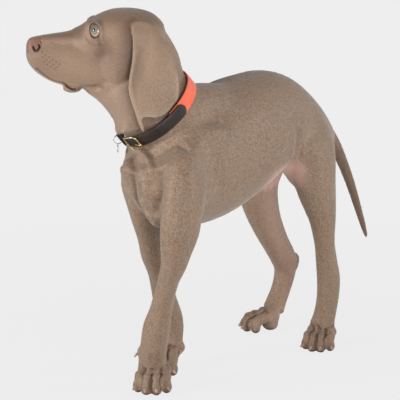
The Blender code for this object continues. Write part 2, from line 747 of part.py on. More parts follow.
# the ear's edges in the head's frame: y and z, from its root down
EAR_FRONT = (
    (0.0510, 0.0100),
    (0.0488, 0.0000),
    (0.0495, -0.0160),
    (0.0496, -0.0320),
    (0.0480, -0.0445),
    (0.0450, -0.0605),
    (0.0432, -0.0747),
    (0.0464, -0.0926),
    (0.0525, -0.1104),
    (0.0590, -0.1290),
    (0.0625, -0.1360),
)
EAR_BACK = (
    (0.0900, 0.0030),
    (0.0950, -0.0080),
    (0.1002, -0.0200),
    (0.1060, -0.0344),
    (0.1098, -0.0504),
    (0.1120, -0.0645),
    (0.1128, -0.0789),
)
EAR_TOP = ((0.0510, 0.0100), (0.0600, 0.0150), (0.0740, 0.0150), (0.0850, 0.0100), (0.0900, 0.0030))
EAR_BOTTOM = (
    (0.0625, -0.1360),
    (0.0645, -0.1310),
    (0.0610, -0.1170),
    (0.0684, -0.1142),
    (0.0807, -0.1151),
    (0.0931, -0.1108),
    (0.1038, -0.1002),
    (0.1110, -0.0915),
    (0.1128, -0.0789),
)
EAR_ROWS, EAR_COLUMNS = 11, 8


def along_curve(points, t):
    """A point at the share t of a smoothed polyline's length."""
    rows = smooth_between(points, 5)
    lengths = [0.0]
    for a, b in zip(rows, rows[1:]):
        lengths.append(lengths[-1] + math.dist(a, b))
    want = t * lengths[-1]
    for k in range(1, len(rows)):
        if lengths[k] >= want - 1e-12:
            span = lengths[k] - lengths[k - 1]
            share = (want - lengths[k - 1]) / span if span > 1e-12 else 0.0
            return Vector(rows[k - 1]).lerp(Vector(rows[k]), share)
    return Vector(rows[-1])


def ear_outward(u, v):
    """How far the ear hangs out from the head's middle plane; it is rolled at its front edge."""
    hang = 0.041 + 0.020 * math.sin(min(u * 1.35, 1.0) * math.pi / 2)
    roll = 0.005 * math.exp(-((v - 0.10) / 0.10) ** 2) * math.sin(math.pi * min(u * 1.1, 1.0))
    hollow = -0.0030 * math.exp(-((v - 0.34) / 0.12) ** 2) * math.sin(math.pi * u)
    swell = 0.0030 * math.exp(-((v - 0.62) / 0.20) ** 2) * math.sin(math.pi * u)
    flare = 0.004 * max(v - 0.75, 0) * 4 * u
    return hang + roll + hollow + swell + flare


def ear_mesh(mirror, tree):
    """A pendent leaf between four edges, draped so that it clears the head and the neck."""
    inverse = HEAD_FRAME.inverted()
    way = (HEAD_FRAME.to_3x3() @ Vector((-mirror, 0, 0))).normalized()
    grid = []
    for i in range(EAR_ROWS):
        u = i / (EAR_ROWS - 1)
        row = []
        for j in range(EAR_COLUMNS):
            v = j / (EAR_COLUMNS - 1)
            front, back = along_curve(EAR_FRONT, u), along_curve(EAR_BACK, u)
            top, bottom = along_curve(EAR_TOP, v), along_curve(EAR_BOTTOM, v)
            place = front * (1 - v) + back * v + top * (1 - u) + bottom * u
            place -= Vector(EAR_TOP[0]) * (1 - u) * (1 - v) + Vector(EAR_TOP[-1]) * (1 - u) * v
            place -= Vector(EAR_BOTTOM[0]) * u * (1 - v) + Vector(EAR_BOTTOM[-1]) * u * v
            out = ear_outward(u, v)
            start = HEAD_FRAME @ Vector((mirror * 0.12, place.x, place.y))
            hit = tree.ray_cast(start, way)[0]
            if hit is not None:
                wall = abs((inverse @ hit).x)
                room = GAP + 0.5 * EAR_THICKNESS + 0.0012 + 0.006 * min(u * 3, 1.0)
                out = max(out, wall + room)
            row.append([place.x, place.y, out])
        grid.append(row)
    outs = np.array([[cell[2] for cell in row] for row in grid])
    for _ in range(3):  # eases the steps between draped and free points, never inwards
        eased = outs.copy()
        eased[1:-1, :] = (outs[:-2, :] + outs[2:, :] + 2 * outs[1:-1, :]) / 4
        outs = np.maximum(outs, eased)
    work = bmesh.new()
    verts = []
    for i, row in enumerate(grid):
        line = []
        for j, (y, z, _) in enumerate(row):
            line.append(work.verts.new(HEAD_FRAME @ Vector((mirror * outs[i, j], y, z))))
        verts.append(line)
    for i in range(EAR_ROWS - 1):
        for j in range(EAR_COLUMNS - 1):
            corners = (verts[i][j], verts[i][j + 1], verts[i + 1][j + 1], verts[i + 1][j])
            work.faces.new(corners if mirror < 0 else tuple(reversed(corners)))
    return mesh_from(work, "ear")


def add_ears(flesh_tree, dog):
    for side, mirror in (("left", 1), ("right", -1)):
        ear = new_object("ear_" + side, ear_mesh(mirror, flesh_tree), dog)
        leaf = ear.modifiers.new("thickness", "SOLIDIFY")
        leaf.thickness = EAR_THICKNESS
        leaf.offset = 0.0
        leaf.use_even_offset = False
        apply_modifiers(ear)


# ---------------------------------------------------------------- collar
class Loop:
    """The collar's path round the neck: angle 0 is the nape, 90 the left, 180 the throat."""

    def __init__(self):
        self.nape, self.left, self.axis = collar_axes()

    def way(self, angle):
        return self.nape * math.cos(angle) + self.left * math.sin(angle)

    def point(self, angle, level, out):
        """A point at an angle, across the band from -0.5 to 0.5, and out from the inside."""
        centre = COLLAR_CENTRE + self.axis * (level * WEBBING_WIDTH)
        return centre + self.way(angle) * (collar_radius(angle) + out)


def band(loop, start, end, steps, width, inner, thickness, taper=0.0):
    """A strap along the loop between two angles in degrees; taper rounds its two ends."""
    work = bmesh.new()
    rings = []
    for k in range(steps + 1):
        share = k / steps
        angle = math.radians(start + (end - start) * share)
        from_end = min(share, 1 - share) * abs(math.radians(end - start)) * 0.06
        half = 0.5 * width / WEBBING_WIDTH
        if taper and from_end < taper:
            half *= math.sqrt(max(1 - (1 - from_end / taper) ** 2, 0.05))
        ring = []
        for level, out in ((-half, inner), (half, inner), (half, inner + thickness), (-half, inner + thickness)):
            ring.append(loop.point(angle, level, out))
        rings.append(ring)
    rows = [[work.verts.new(p) for p in ring] for ring in rings]
    for first, second in zip(rows, rows[1:]):
        for i in range(4):
            j = (i + 1) % 4
            work.faces.new((first[i], first[j], second[j], second[i]))
    work.faces.new(rows[0])
    work.faces.new(tuple(reversed(rows[-1])))
    bmesh.ops.recalc_face_normals(work, faces=work.faces)
    return mesh_from(work, "band")


def wire(points, radius, sides=6, closed=True):
    """A round wire through points, closed on itself or with flat ends."""
    work = bmesh.new()
    count = len(points)
    rows = []
    normal = None
    for i, place in enumerate(points):
        before = points[i - 1] if (closed or i > 0) else place
        after = points[(i + 1) % count] if (closed or i < count - 1) else place
        along = (after - before).normalized()
        if normal is None:
            normal = along.orthogonal().normalized()
        normal = (normal - along * normal.dot(along)).normalized()
        other = along.cross(normal)
        row = []
        for k in range(sides):
            angle = 2 * math.pi * k / sides
            row.append(work.verts.new(place + (normal * math.cos(angle) + other * math.sin(angle)) * radius))
        rows.append(row)
    pairs = list(zip(rows, rows[1:]))
    if closed:
        first, last = rows[0], rows[-1]
        shift = min(range(sides), key=lambda s: (last[0].co - first[s].co).length)
        pairs.append((last, first[shift:] + first[:shift]))
    for one, two in pairs:
        for k in range(sides):
            j = (k + 1) % sides
            work.faces.new((one[k], one[j], two[j], two[k]))
    if not closed:
        work.faces.new(tuple(reversed(rows[0])))
        work.faces.new(rows[-1])
    bmesh.ops.recalc_face_normals(work, faces=work.faces)
    return mesh_from(work, "wire")


def add_collar(dog):
    loop = Loop()
    lift = WEBBING_THICKNESS + GAP
    webbing = band(loop, -112, 96, 30, WEBBING_WIDTH, 0.0, WEBBING_THICKNESS)
    new_object("collar_webbing", webbing, dog)
    strap = band(loop, 73, 268, 36, STRAP_WIDTH, lift, STRAP_THICKNESS, taper=0.0085)
    new_object("collar_strap", strap, dog)
    outside = lift + STRAP_THICKNESS + GAP
    # the buckle: a rounded frame that lies on the strap, and its prong
    frame_wire = 0.00125
    corners = []
    for k in range(22):
        angle = 2 * math.pi * k / 22
        c, s = math.cos(angle), math.sin(angle)
        along = math.copysign(abs(c) ** 0.55, c) * 10.0
        across = math.copysign(abs(s) ** 0.55, s) * 0.64
        rise = 0.0015 if c < 0.4 else 0.0006
        corners.append(loop.point(math.radians(162 + along), across, outside + frame_wire + rise))
    new_object("buckle", wire(corners, frame_wire), dog)
    pin = []
    for turn, rise in ((149.4, 0.0046), (152.0, 0.0056), (155.0, 0.0042), (160.0, 0.0013)):
        pin.append(loop.point(math.radians(turn), -0.12, outside + rise))
    new_object("buckle_prong", wire(pin, 0.0009, 6, closed=False), dog)
    # the keeper near the throat, with its stud, and the ring and tag that hang from it
    keeper = band(loop, 185, 192, 4, STRAP_WIDTH + 0.0014, outside, 0.0022)
    new_object("collar_keeper", keeper, dog)
    stud_place = loop.point(math.radians(214), 0.10, outside + 0.0008)
    out = loop.way(math.radians(214))
    stud = bmesh.new()
    place = Matrix.Translation(stud_place) @ out.to_track_quat("Z", "Y").to_matrix().to_4x4()
    bmesh.ops.create_cone(
        stud, cap_ends=True, segments=12, radius1=0.0024, radius2=0.0016, depth=0.0016, matrix=place
    )
    new_object("collar_stud", mesh_from(stud, "stud"), dog)
    ring_radius, ring_wire = 0.0058, 0.0007
    middle = loop.point(math.radians(201), -0.20, outside + 0.0060)
    level = Vector((0.81, 0.59, 0.0)).normalized()
    turn = []
    for k in range(16):
        angle = 2 * math.pi * k / 16
        turn.append(middle + (level * math.cos(angle) + Vector((0, 0, 1)) * math.sin(angle)) * ring_radius)
    new_object("tag_ring", wire(turn, ring_wire, 5), dog)
    tag_radius, tag_thickness = 0.0058, 0.0011
    hang = middle - Vector((0, 0, ring_radius + ring_wire + GAP + tag_radius))
    tag = bmesh.new()
    place = Matrix.Translation(hang) @ level.to_track_quat("Z", "Y").to_matrix().to_4x4()
    bmesh.ops.create_cone(
        tag,
        cap_ends=True,
        segments=20,
        radius1=tag_radius,
        radius2=tag_radius,
        depth=tag_thickness,
        matrix=place,
    )
    new_object("tag", mesh_from(tag, "tag"), dog)


# ---------------------------------------------------------------- assembling
MATERIALS = {
    "coat": (COAT, 0.70, 0.0),
    "iris": (IRIS, 0.10, 0.0),
    "nose_leather": (NOSE_LEATHER, 0.45, 0.0),
    "webbing": (WEBBING, 0.80, 0.0),
    "strap_leather": (STRAP_LEATHER, 0.50, 0.0),
    "brass": (BRASS, 0.30, 1.0),
    "steel": (STEEL, 0.30, 1.0),
}
WEARS = {
    "eye_left": "iris",
    "eye_right": "iris",
    "nose": "nose_leather",
    "collar_webbing": "webbing",
    "collar_strap": "strap_leather",
    "collar_keeper": "strap_leather",
    "buckle": "brass",
    "buckle_prong": "brass",
    "collar_stud": "steel",
    "tag_ring": "steel",
    "tag": "steel",
}


def stand_on_origin(objects):
    """Moves everything so that the middle of its footprint is at x = y = 0."""
    corners = [v.co for obj in objects for v in obj.data.vertices]
    low = Vector(min(c[k] for c in corners) for k in range(3))
    high = Vector(max(c[k] for c in corners) for k in range(3))
    shift = Vector((-(low.x + high.x) / 2, -(low.y + high.y) / 2, -low.z))
    for obj in objects:
        obj.data.transform(Matrix.Translation(shift))
    print("moved by", tuple(round(c, 5) for c in shift))
    print("size", tuple(round(c, 4) for c in high - low))


def main():
    clear_scene()
    dog = new_collection("weimaraner", shown=True)
    cutters = new_collection("cutters", shown=False)
    clay = bmesh.new()
    add_trunk(clay)
    add_legs(clay)
    for paw in PAWS:
        add_paw(clay, paw)
        if paw.dewclaw:
            dewclaw_toe(clay, paw)
    add_head(clay)
    body = fuse(clay, "flesh", dog)
    below = box_mesh((1.0, 1.4, 0.1), Matrix.Translation((0, 0.1, FLOOR_FLAT - 0.05)))
    boolean(body, cutter(below, cutters), "DIFFERENCE")
    tree = mesh_tree(body)
    pieces = part_body(body, dog, cutters)
    room = cutter(collar_room(), cutters)
    for name in ("neck", "trunk"):
        boolean(pieces[name], room, "DIFFERENCE")
    for paw in PAWS:
        for across, forward in TOES:
            talon = cutter(claw(paw, across, forward), cutters)
            boolean(pieces[paw.name], talon, "UNION")
        if paw.dewclaw:
            boolean(pieces[paw.name], cutter(dewclaw(paw), cutters), "UNION")
    add_eyes(pieces["head"], dog, cutters)
    add_nose(pieces["head"], dog, cutters)
    add_ears(tree, dog)
    add_collar(dog)
    shown = [obj for obj in dog.objects]
    made = {name: material(name, *look) for name, look in MATERIALS.items()}
    for obj in shown:
        obj.data.materials.clear()
        obj.data.materials.append(made[WEARS.get(obj.name, "coat")])
        obj.data.name = obj.name
        for face in obj.data.polygons:
            face.use_smooth = True
    stand_on_origin(shown)
    total = 0
    for obj in shown:
        obj.data.calc_loop_triangles()
        total += len(obj.data.loop_triangles)
        print(obj.name, len(obj.data.loop_triangles))
    print("triangles", total)


main()
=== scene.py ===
# %% [markdown]
# # A young Weimaraner, standing
# This lesson dresses a museum model of a half-grown pointing dog. The imported model gives the true
# sizes: a faceted body in named pieces, two eyes, a nose, two ears and a collar with its buckle.
# Blender could subdivide those pieces, but their seams would show, so one new skin is modelled over
# them from the same lofts and masses, and the coat, the eyes, the claws and the collar follow.

# %% Load the imported model and keep its parts
import json
import math

import bmesh
import bpy
import numpy as np
from mathutils import Matrix, Vector
from mathutils.bvhtree import BVHTree

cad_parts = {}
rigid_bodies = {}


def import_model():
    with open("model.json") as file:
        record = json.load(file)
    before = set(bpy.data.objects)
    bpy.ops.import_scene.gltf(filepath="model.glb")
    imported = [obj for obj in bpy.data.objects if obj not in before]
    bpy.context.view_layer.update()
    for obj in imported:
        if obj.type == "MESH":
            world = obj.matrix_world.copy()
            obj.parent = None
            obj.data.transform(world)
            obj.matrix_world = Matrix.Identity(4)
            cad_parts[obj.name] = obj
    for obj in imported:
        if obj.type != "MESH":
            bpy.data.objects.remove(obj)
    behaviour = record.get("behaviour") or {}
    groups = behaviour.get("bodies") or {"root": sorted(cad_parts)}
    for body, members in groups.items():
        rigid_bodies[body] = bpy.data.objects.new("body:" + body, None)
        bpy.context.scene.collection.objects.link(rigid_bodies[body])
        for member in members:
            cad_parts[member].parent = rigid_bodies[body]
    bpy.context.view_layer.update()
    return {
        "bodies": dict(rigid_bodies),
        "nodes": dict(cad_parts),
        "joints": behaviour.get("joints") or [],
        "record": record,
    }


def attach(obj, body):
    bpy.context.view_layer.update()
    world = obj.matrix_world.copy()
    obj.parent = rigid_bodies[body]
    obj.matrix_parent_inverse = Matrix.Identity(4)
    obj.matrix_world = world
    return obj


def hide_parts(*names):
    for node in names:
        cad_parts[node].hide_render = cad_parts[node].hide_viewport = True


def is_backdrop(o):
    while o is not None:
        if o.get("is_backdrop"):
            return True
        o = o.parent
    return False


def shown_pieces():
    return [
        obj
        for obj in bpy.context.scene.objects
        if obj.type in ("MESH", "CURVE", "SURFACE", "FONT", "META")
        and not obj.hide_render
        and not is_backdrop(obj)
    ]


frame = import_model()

CHANCE = np.random.default_rng(7)

# %% [markdown]
# ## Small helpers
# A finished piece keeps its place in its vertices. The body is easiest to describe with the trunk's
# middle plane at x = 0, so everything is modelled there, and each mesh is moved by one constant step
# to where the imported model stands.

# %% Helpers for objects and meshes
TO_FRAME = Vector((0.04341, -0.13267, -0.0012))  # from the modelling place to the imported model's place


def new_object(name, mesh):
    made = bpy.data.objects.new(name, mesh)
    bpy.context.scene.collection.objects.link(made)
    return made


def mesh_from(work, name):
    made = bpy.data.meshes.new(name)
    work.to_mesh(made)
    work.free()
    return made


def evaluated_mesh(obj):
    bpy.context.view_layer.update()
    graph = bpy.context.evaluated_depsgraph_get()
    return bpy.data.meshes.new_from_object(obj.evaluated_get(graph))


def apply_modifiers(obj):
    made = evaluated_mesh(obj)
    obj.modifiers.clear()
    obj.data = made
    return obj


def settle(obj, *nodes, slot=None, smooth=True):
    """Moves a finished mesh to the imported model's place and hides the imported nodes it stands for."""
    obj.data.transform(Matrix.Translation(TO_FRAME))
    obj.data.shade_smooth() if smooth else obj.data.shade_flat()
    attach(obj, "root")
    if nodes:
        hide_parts(*nodes)
    return obj


def finish_piece(obj, look, *nodes, slot):
    """Gives a piece its material and settles it."""
    obj.data.materials.append(look)
    return settle(obj, *nodes, slot=slot)


def points_of(mesh):
    places = np.empty(len(mesh.vertices) * 3)
    mesh.vertices.foreach_get("co", places)
    return places.reshape(-1, 3)


def normals_of(mesh):
    ways = np.empty(len(mesh.vertices) * 3)
    mesh.vertex_normals.foreach_get("vector", ways)
    return ways.reshape(-1, 3)


def set_points(mesh, places):
    mesh.vertices.foreach_set("co", np.ascontiguousarray(places).ravel())
    mesh.update()


def around_point(places, centre, radius, power=2):
    """1 at a point, falling to 0 over a radius; a higher power gives a flatter top."""
    away = np.linalg.norm(places - np.asarray(centre), axis=1)
    return np.exp(-((away / radius) ** power))


def ramp(values, start, end):
    """0 before start, 1 after end, and a soft step between."""
    t = np.clip((np.asarray(values) - start) / (end - start), 0, 1)
    return t * t * (3 - 2 * t)


# %% [markdown]
# ## Clay
# A sculptor in clay lays rolls and pellets over one another and rubs them together. Lofted tubes make
# the trunk, neck, tail, legs and muzzle, and ellipsoids make muscles, toes and cheeks. A box model
# with subdivision would need careful edge flow at every shoulder, while this only needs sections.

# %% Lofted tubes and rounded masses
RING_SIDES = 22


def smooth_between(stations, steps):
    """Catmull-Rom through rows of numbers, with some rows added between each two."""
    rows = []
    last = len(stations) - 1
    for i in range(last):
        before, here = stations[max(i - 1, 0)], stations[i]
        there, after = stations[i + 1], stations[min(i + 2, last)]
        for k in range(steps):
            t = k / steps
            row = []
            for a, b, c, d in zip(before, here, there, after):
                bend = (2 * a - 5 * b + 4 * c - d) * t * t + (3 * b - a - 3 * c + d) * t * t * t
                row.append(0.5 * (2 * b + (c - a) * t + bend))
            rows.append(tuple(row))
    rows.append(tuple(stations[last]))
    return rows


def loft(work, rings):
    """Adds a closed tube to the bmesh. A ring is a list of points; each end closes on a pole."""
    rows = [[work.verts.new(p) for p in ring] for ring in rings]
    count = len(rows[0])
    for first, second in zip(rows, rows[1:]):
        for i in range(count):
            j = (i + 1) % count
            work.faces.new((first[i], first[j], second[j], second[i]))
    for row, turned in ((rows[0], True), (rows[-1], False)):
        pole = work.verts.new(sum((v.co for v in row), Vector()) / count)
        for i in range(count):
            j = (i + 1) % count
            corners = (row[j], row[i], pole) if turned else (row[i], row[j], pole)
            work.faces.new(corners)


def ring_points(centre, side, up, across, above, below, squareness=1.0):
    """A ring round centre: across to each side, and above and below along up."""
    points = []
    for i in range(RING_SIDES):
        angle = 2 * math.pi * i / RING_SIDES
        c, s = math.cos(angle), math.sin(angle)
        c = math.copysign(abs(c) ** squareness, c)
        s = math.copysign(abs(s) ** squareness, s)
        points.append(centre + side * (across * c) + up * ((above if s > 0 else below) * s))
    return points


def body_loft(clay, stations, frame, squareness=1.0):
    """A tube along Y. A station is y, half-width, top, widest height, bottom."""
    side, up = Vector((1, 0, 0)), Vector((0, 0, 1))
    rings = []
    for y, across, top, middle, bottom in smooth_between(stations, 4):
        centre = Vector((0, y, middle))
        above, below = top - middle, middle - bottom
        points = ring_points(centre, side, up, across, above, below, squareness)
        rings.append([frame @ p for p in points])
    loft(clay, rings)


def limb_loft(clay, stations):
    """A tube through points. A station is x, y, z, half-width, front and back from the point."""
    rows = smooth_between(stations, 4)
    places = [Vector(row[:3]) for row in rows]
    side = Vector((1, 0, 0))
    rings = []
    for i, row in enumerate(rows):
        along = (places[min(i + 1, len(rows) - 1)] - places[max(i - 1, 0)]).normalized()
        across = (side - along * side.dot(along)).normalized()
        front = along.cross(across).normalized()
        if front.y > 0:
            front = -front
        rings.append(ring_points(places[i], across, front, *row[3:6]))
    loft(clay, rings)


def neck_loft(clay, stations):
    """A tube whose stations are a point of the throat, one of the nape, and a half-width."""
    rows = smooth_between(stations, 4)
    rings = []
    middles = [(Vector(row[:3]) + Vector(row[3:6])) / 2 for row in rows]
    for i, row in enumerate(rows):
        throat, nape = Vector(row[:3]), Vector(row[3:6])
        along = middles[min(i + 1, len(rows) - 1)] - middles[max(i - 1, 0)]
        up = nape - throat
        side = up.cross(along).normalized()
        reach = up.length / 2
        rings.append(ring_points(middles[i], side, up.normalized(), row[6], reach, reach))
    loft(clay, rings)


def mass(clay, centre, radii, turn=(0, 0, 0), frame=Matrix.Identity(4)):
    """A rounded mass, such as a muscle: an ellipsoid turned by three angles in degrees."""
    spin = Matrix.Rotation(math.radians(turn[2]), 4, "Z")
    spin = spin @ Matrix.Rotation(math.radians(turn[1]), 4, "Y")
    spin = spin @ Matrix.Rotation(math.radians(turn[0]), 4, "X")
    place = frame @ Matrix.Translation(centre) @ spin @ Matrix.Diagonal((*radii, 1.0))
    bmesh.ops.create_uvsphere(clay, u_segments=20, v_segments=14, radius=1.0, matrix=place)


def both_sides(centre):
    """A point of the left side and its mirror image."""
    return (Vector(centre), Vector((-centre[0], centre[1], centre[2])))


# %% [markdown]
# ## Trunk, neck and tail
# A pointing dog is deep in the chest and tucked up in the loin. Each row of the table is one section
# of the trunk, and the masses after it are the shoulder blades, the breast and the haunches.

# %% Trunk, neck and tail
# y, half-width, top, widest height, bottom
TRUNK = (
    (-0.134, 0.018, 0.326, 0.308, 0.292),
    (-0.122, 0.042, 0.340, 0.308, 0.272),
    (-0.095, 0.058, 0.360, 0.312, 0.247),
    (-0.050, 0.065, 0.410, 0.318, 0.235),
    (0.000, 0.068, 0.424, 0.328, 0.233),
    (0.050, 0.072, 0.434, 0.338, 0.240),
    (0.100, 0.074, 0.437, 0.345, 0.256),
    (0.150, 0.068, 0.437, 0.355, 0.274),
    (0.200, 0.061, 0.423, 0.355, 0.284),
    (0.250, 0.050, 0.390, 0.345, 0.290),
    (0.295, 0.037, 0.351, 0.322, 0.286),
    (0.323, 0.021, 0.329, 0.310, 0.290),
)

# a point of the throat, the point of the nape across from it, and the half-width
NECK = (
    (-0.1068, -0.1269, 0.4268, -0.0221, -0.0583, 0.5165, 0.0380),
    (-0.0930, -0.1160, 0.4120, -0.0097, -0.0451, 0.4845, 0.0480),
    (-0.0520, -0.1300, 0.3840, -0.0050, -0.0270, 0.4400, 0.0480),
    (-0.0420, -0.1360, 0.3420, -0.0010, -0.0030, 0.4370, 0.0550),
    (-0.0260, -0.1450, 0.3220, 0.0000, 0.0500, 0.4290, 0.0550),
    (0.0000, -0.1200, 0.2900, 0.0000, 0.1000, 0.4200, 0.0550),
)

# x, y, z, half-width, front, back
TAIL = (
    (0.000, 0.284, 0.332, 0.016, 0.016, 0.016),
    (0.000, 0.316, 0.322, 0.014, 0.014, 0.014),
    (0.000, 0.341, 0.305, 0.012, 0.012, 0.012),
    (0.000, 0.370, 0.272, 0.0095, 0.0100, 0.0100),
    (0.000, 0.400, 0.227, 0.0080, 0.0085, 0.0085),
    (0.000, 0.430, 0.172, 0.0065, 0.0068, 0.0068),
    (0.000, 0.449, 0.136, 0.0048, 0.0050, 0.0050),
    (0.000, 0.455, 0.124, 0.0030, 0.0030, 0.0030),
)


def add_trunk(clay):
    here = Matrix.Identity(4)
    body_loft(clay, TRUNK, here)
    neck_loft(clay, NECK)
    limb_loft(clay, TAIL)
    # shoulder blades, upper arms, the breast and its keel
    mass(clay, (0.042, -0.034, 0.336), (0.019, 0.036, 0.058), (24, 16, 0))
    mass(clay, (-0.042, -0.022, 0.336), (0.019, 0.036, 0.058), (24, -16, 0))
    mass(clay, (0.052, -0.108, 0.305), (0.024, 0.034, 0.046), (-18, 0, 0))
    mass(clay, (-0.044, -0.076, 0.312), (0.022, 0.034, 0.044), (-18, 0, 0))
    mass(clay, (0.024, -0.114, 0.302), (0.023, 0.024, 0.052), (6, 0, 0))
    mass(clay, (-0.033, -0.121, 0.343), (0.021, 0.023, 0.060), (6, 0, 0))
    mass(clay, (-0.041, -0.117, 0.366), (0.022, 0.024, 0.044))
    mass(clay, (0.002, -0.090, 0.262), (0.022, 0.036, 0.022))
    # haunches
    mass(clay, (0.042, 0.208, 0.312), (0.031, 0.056, 0.060), (-10, 0, 0))
    mass(clay, (-0.044, 0.225, 0.310), (0.031, 0.056, 0.058), (-6, 0, 0))
    mass(clay, (0.026, 0.262, 0.312), (0.022, 0.030, 0.036))
    mass(clay, (-0.028, 0.270, 0.308), (0.022, 0.030, 0.036))


# %% [markdown]
# ## Legs and paws
# The legs are long tubes whose sections narrow at the wrist and the hock. A paw is a main pad and
# four toes, each built of three masses: the knuckle's back, the knuckle, and the toe with its pad.

# %% Legs
# x, y, z, half-width, front, back
FORELEG_LEFT = (
    (0.030, -0.048, 0.385, 0.0080, 0.012, 0.020),
    (0.042, -0.080, 0.358, 0.0150, 0.022, 0.034),
    (0.052, -0.110, 0.325, 0.0215, 0.036, 0.045),
    (0.053, -0.120, 0.285, 0.0235, 0.036, 0.040),
    (0.051, -0.124, 0.250, 0.0230, 0.036, 0.038),
    (0.048, -0.128, 0.222, 0.0205, 0.026, 0.029),
    (0.043, -0.127, 0.200, 0.0180, 0.0195, 0.0205),
    (0.033, -0.124, 0.180, 0.0158, 0.0165, 0.0165),
    (0.022, -0.119, 0.156, 0.0152, 0.0155, 0.0155),
    (0.007, -0.110, 0.124, 0.0168, 0.0165, 0.0165),
    (-0.005, -0.104, 0.098, 0.0200, 0.0185, 0.0190),
    (-0.014, -0.098, 0.073, 0.0200, 0.0180, 0.0190),
    (-0.021, -0.092, 0.050, 0.0205, 0.0180, 0.0175),
    (-0.026, -0.086, 0.030, 0.0215, 0.0170, 0.0165),
)
FORELEG_RIGHT = (
    (-0.032, -0.038, 0.377, 0.0080, 0.012, 0.020),
    (-0.043, -0.068, 0.349, 0.0150, 0.020, 0.030),
    (-0.051, -0.088, 0.315, 0.0205, 0.030, 0.045),
    (-0.053, -0.074, 0.272, 0.0210, 0.027, 0.040),
    (-0.054, -0.058, 0.240, 0.0205, 0.028, 0.034),
    (-0.055, -0.050, 0.212, 0.0188, 0.022, 0.025),
    (-0.056, -0.044, 0.186, 0.0180, 0.0190, 0.0200),
    (-0.055, -0.032, 0.156, 0.0160, 0.0165, 0.0165),
    (-0.057, -0.016, 0.114, 0.0178, 0.0175, 0.0175),
    (-0.059, -0.002, 0.085, 0.0200, 0.0180, 0.0185),
    (-0.061, 0.005, 0.064, 0.0200, 0.0180, 0.0180),
    (-0.064, 0.005, 0.045, 0.0205, 0.0175, 0.0170),
    (-0.067, 0.001, 0.030, 0.0215, 0.0170, 0.0165),
)
HINDLEG_LEFT = (
    (0.046, 0.220, 0.330, 0.0270, 0.055, 0.048),
    (0.057, 0.206, 0.295, 0.0285, 0.054, 0.046),
    (0.065, 0.199, 0.264, 0.0265, 0.041, 0.040),
    (0.069, 0.201, 0.240, 0.0240, 0.031, 0.035),
    (0.0715, 0.208, 0.210, 0.0195, 0.0220, 0.0265),
    (0.0710, 0.216, 0.172, 0.0155, 0.0165, 0.0180),
    (0.0685, 0.226, 0.140, 0.0160, 0.0170, 0.0195),
    (0.065, 0.238, 0.110, 0.0175, 0.0190, 0.0205),
    (0.063, 0.241, 0.085, 0.0172, 0.0180, 0.0185),
    (0.060, 0.240, 0.060, 0.0172, 0.0168, 0.0168),
    (0.056, 0.238, 0.040, 0.0185, 0.0165, 0.0165),
    (0.053, 0.240, 0.028, 0.0195, 0.0160, 0.0155),
)
HINDLEG_RIGHT = (
    (-0.046, 0.238, 0.325, 0.0270, 0.052, 0.050),
    (-0.055, 0.235, 0.285, 0.0280, 0.050, 0.055),
    (-0.062, 0.231, 0.250, 0.0260, 0.042, 0.053),
    (-0.067, 0.240, 0.214, 0.0225, 0.032, 0.047),
    (-0.0655, 0.2575, 0.174, 0.0178, 0.0250, 0.0380),
    (-0.063, 0.284, 0.136, 0.0155, 0.0225, 0.0290),
    (-0.061, 0.308, 0.106, 0.0168, 0.0245, 0.0225),
    (-0.063, 0.311, 0.084, 0.0165, 0.0200, 0.0170),
    (-0.0655, 0.3035, 0.060, 0.0158, 0.0160, 0.0150),
    (-0.067, 0.2915, 0.040, 0.0168, 0.0155, 0.0150),
    (-0.066, 0.283, 0.028, 0.0180, 0.0155, 0.0150),
)
HOCK_POINTS = ((0.0640, 0.2540, 0.110), (-0.0595, 0.3300, 0.099))
ELBOW_POINTS = ((0.052, -0.095, 0.246), (-0.054, -0.040, 0.238))


def add_legs(clay):
    for stations in (FORELEG_LEFT, FORELEG_RIGHT, HINDLEG_LEFT, HINDLEG_RIGHT):
        limb_loft(clay, stations)
    for place in HOCK_POINTS:
        mass(clay, place, (0.0090, 0.0110, 0.0180), (-20, 0, 0))
    for place in ELBOW_POINTS:
        mass(clay, place, (0.0110, 0.0120, 0.0170))


# %% Paws
class Paw:
    """Where a paw's main pad stands, the way its toes point, and how large it is."""

    def __init__(self, name, place, turn, size, dewclaw=None):
        self.name = name
        self.size = size
        self.dewclaw = dewclaw  # where it springs from the leg, and the side it points to
        spin = Matrix.Rotation(math.radians(turn), 4, "Z")  # towards the dog's left
        grow = Matrix.Diagonal((size, size, size, 1.0))
        self.frame = Matrix.Translation((*place, 0.0)) @ spin @ grow


PAWS = (
    Paw("forepaw_left", (-0.027, -0.079), 30, 1.0, ((-0.036, -0.100, 0.056), -1)),
    Paw("forepaw_right", (-0.0692, -0.0015), 24, 1.0, ((-0.045, 0.008, 0.036), 1)),
    Paw("hindpaw_left", (0.0515, 0.244), 20, 0.93),
    Paw("hindpaw_right", (-0.0650, 0.274), -42, 0.93),
)
# each toe: across, and how far forward its tip is from the main pad, for a full-size paw
TOES = ((-0.0205, 0.0310), (-0.0074, 0.0430), (0.0074, 0.0430), (0.0205, 0.0310))


def add_paw(clay, paw):
    mass(clay, (0, -0.003, 0.026), (0.0225, 0.019, 0.018), frame=paw.frame)
    mass(clay, (0, -0.001, 0.0120), (0.0185, 0.0145, 0.0135), frame=paw.frame)
    for across, forward in TOES:
        back = 0.80 * across
        knuckle = 0.92 * across
        mass(clay, (back, 0.014 - 0.6 * forward, 0.0255), (0.0088, 0.014, 0.0100), frame=paw.frame)
        mass(clay, (knuckle, 0.008 - forward, 0.0225), (0.0082, 0.011, 0.0090), frame=paw.frame)
        mass(clay, (across, -forward, 0.0105), (0.0082, 0.0092, 0.0118), frame=paw.frame)


def dewclaw_toe(clay, paw):
    mass(clay, paw.dewclaw[0], (0.0068, 0.0072, 0.0095))


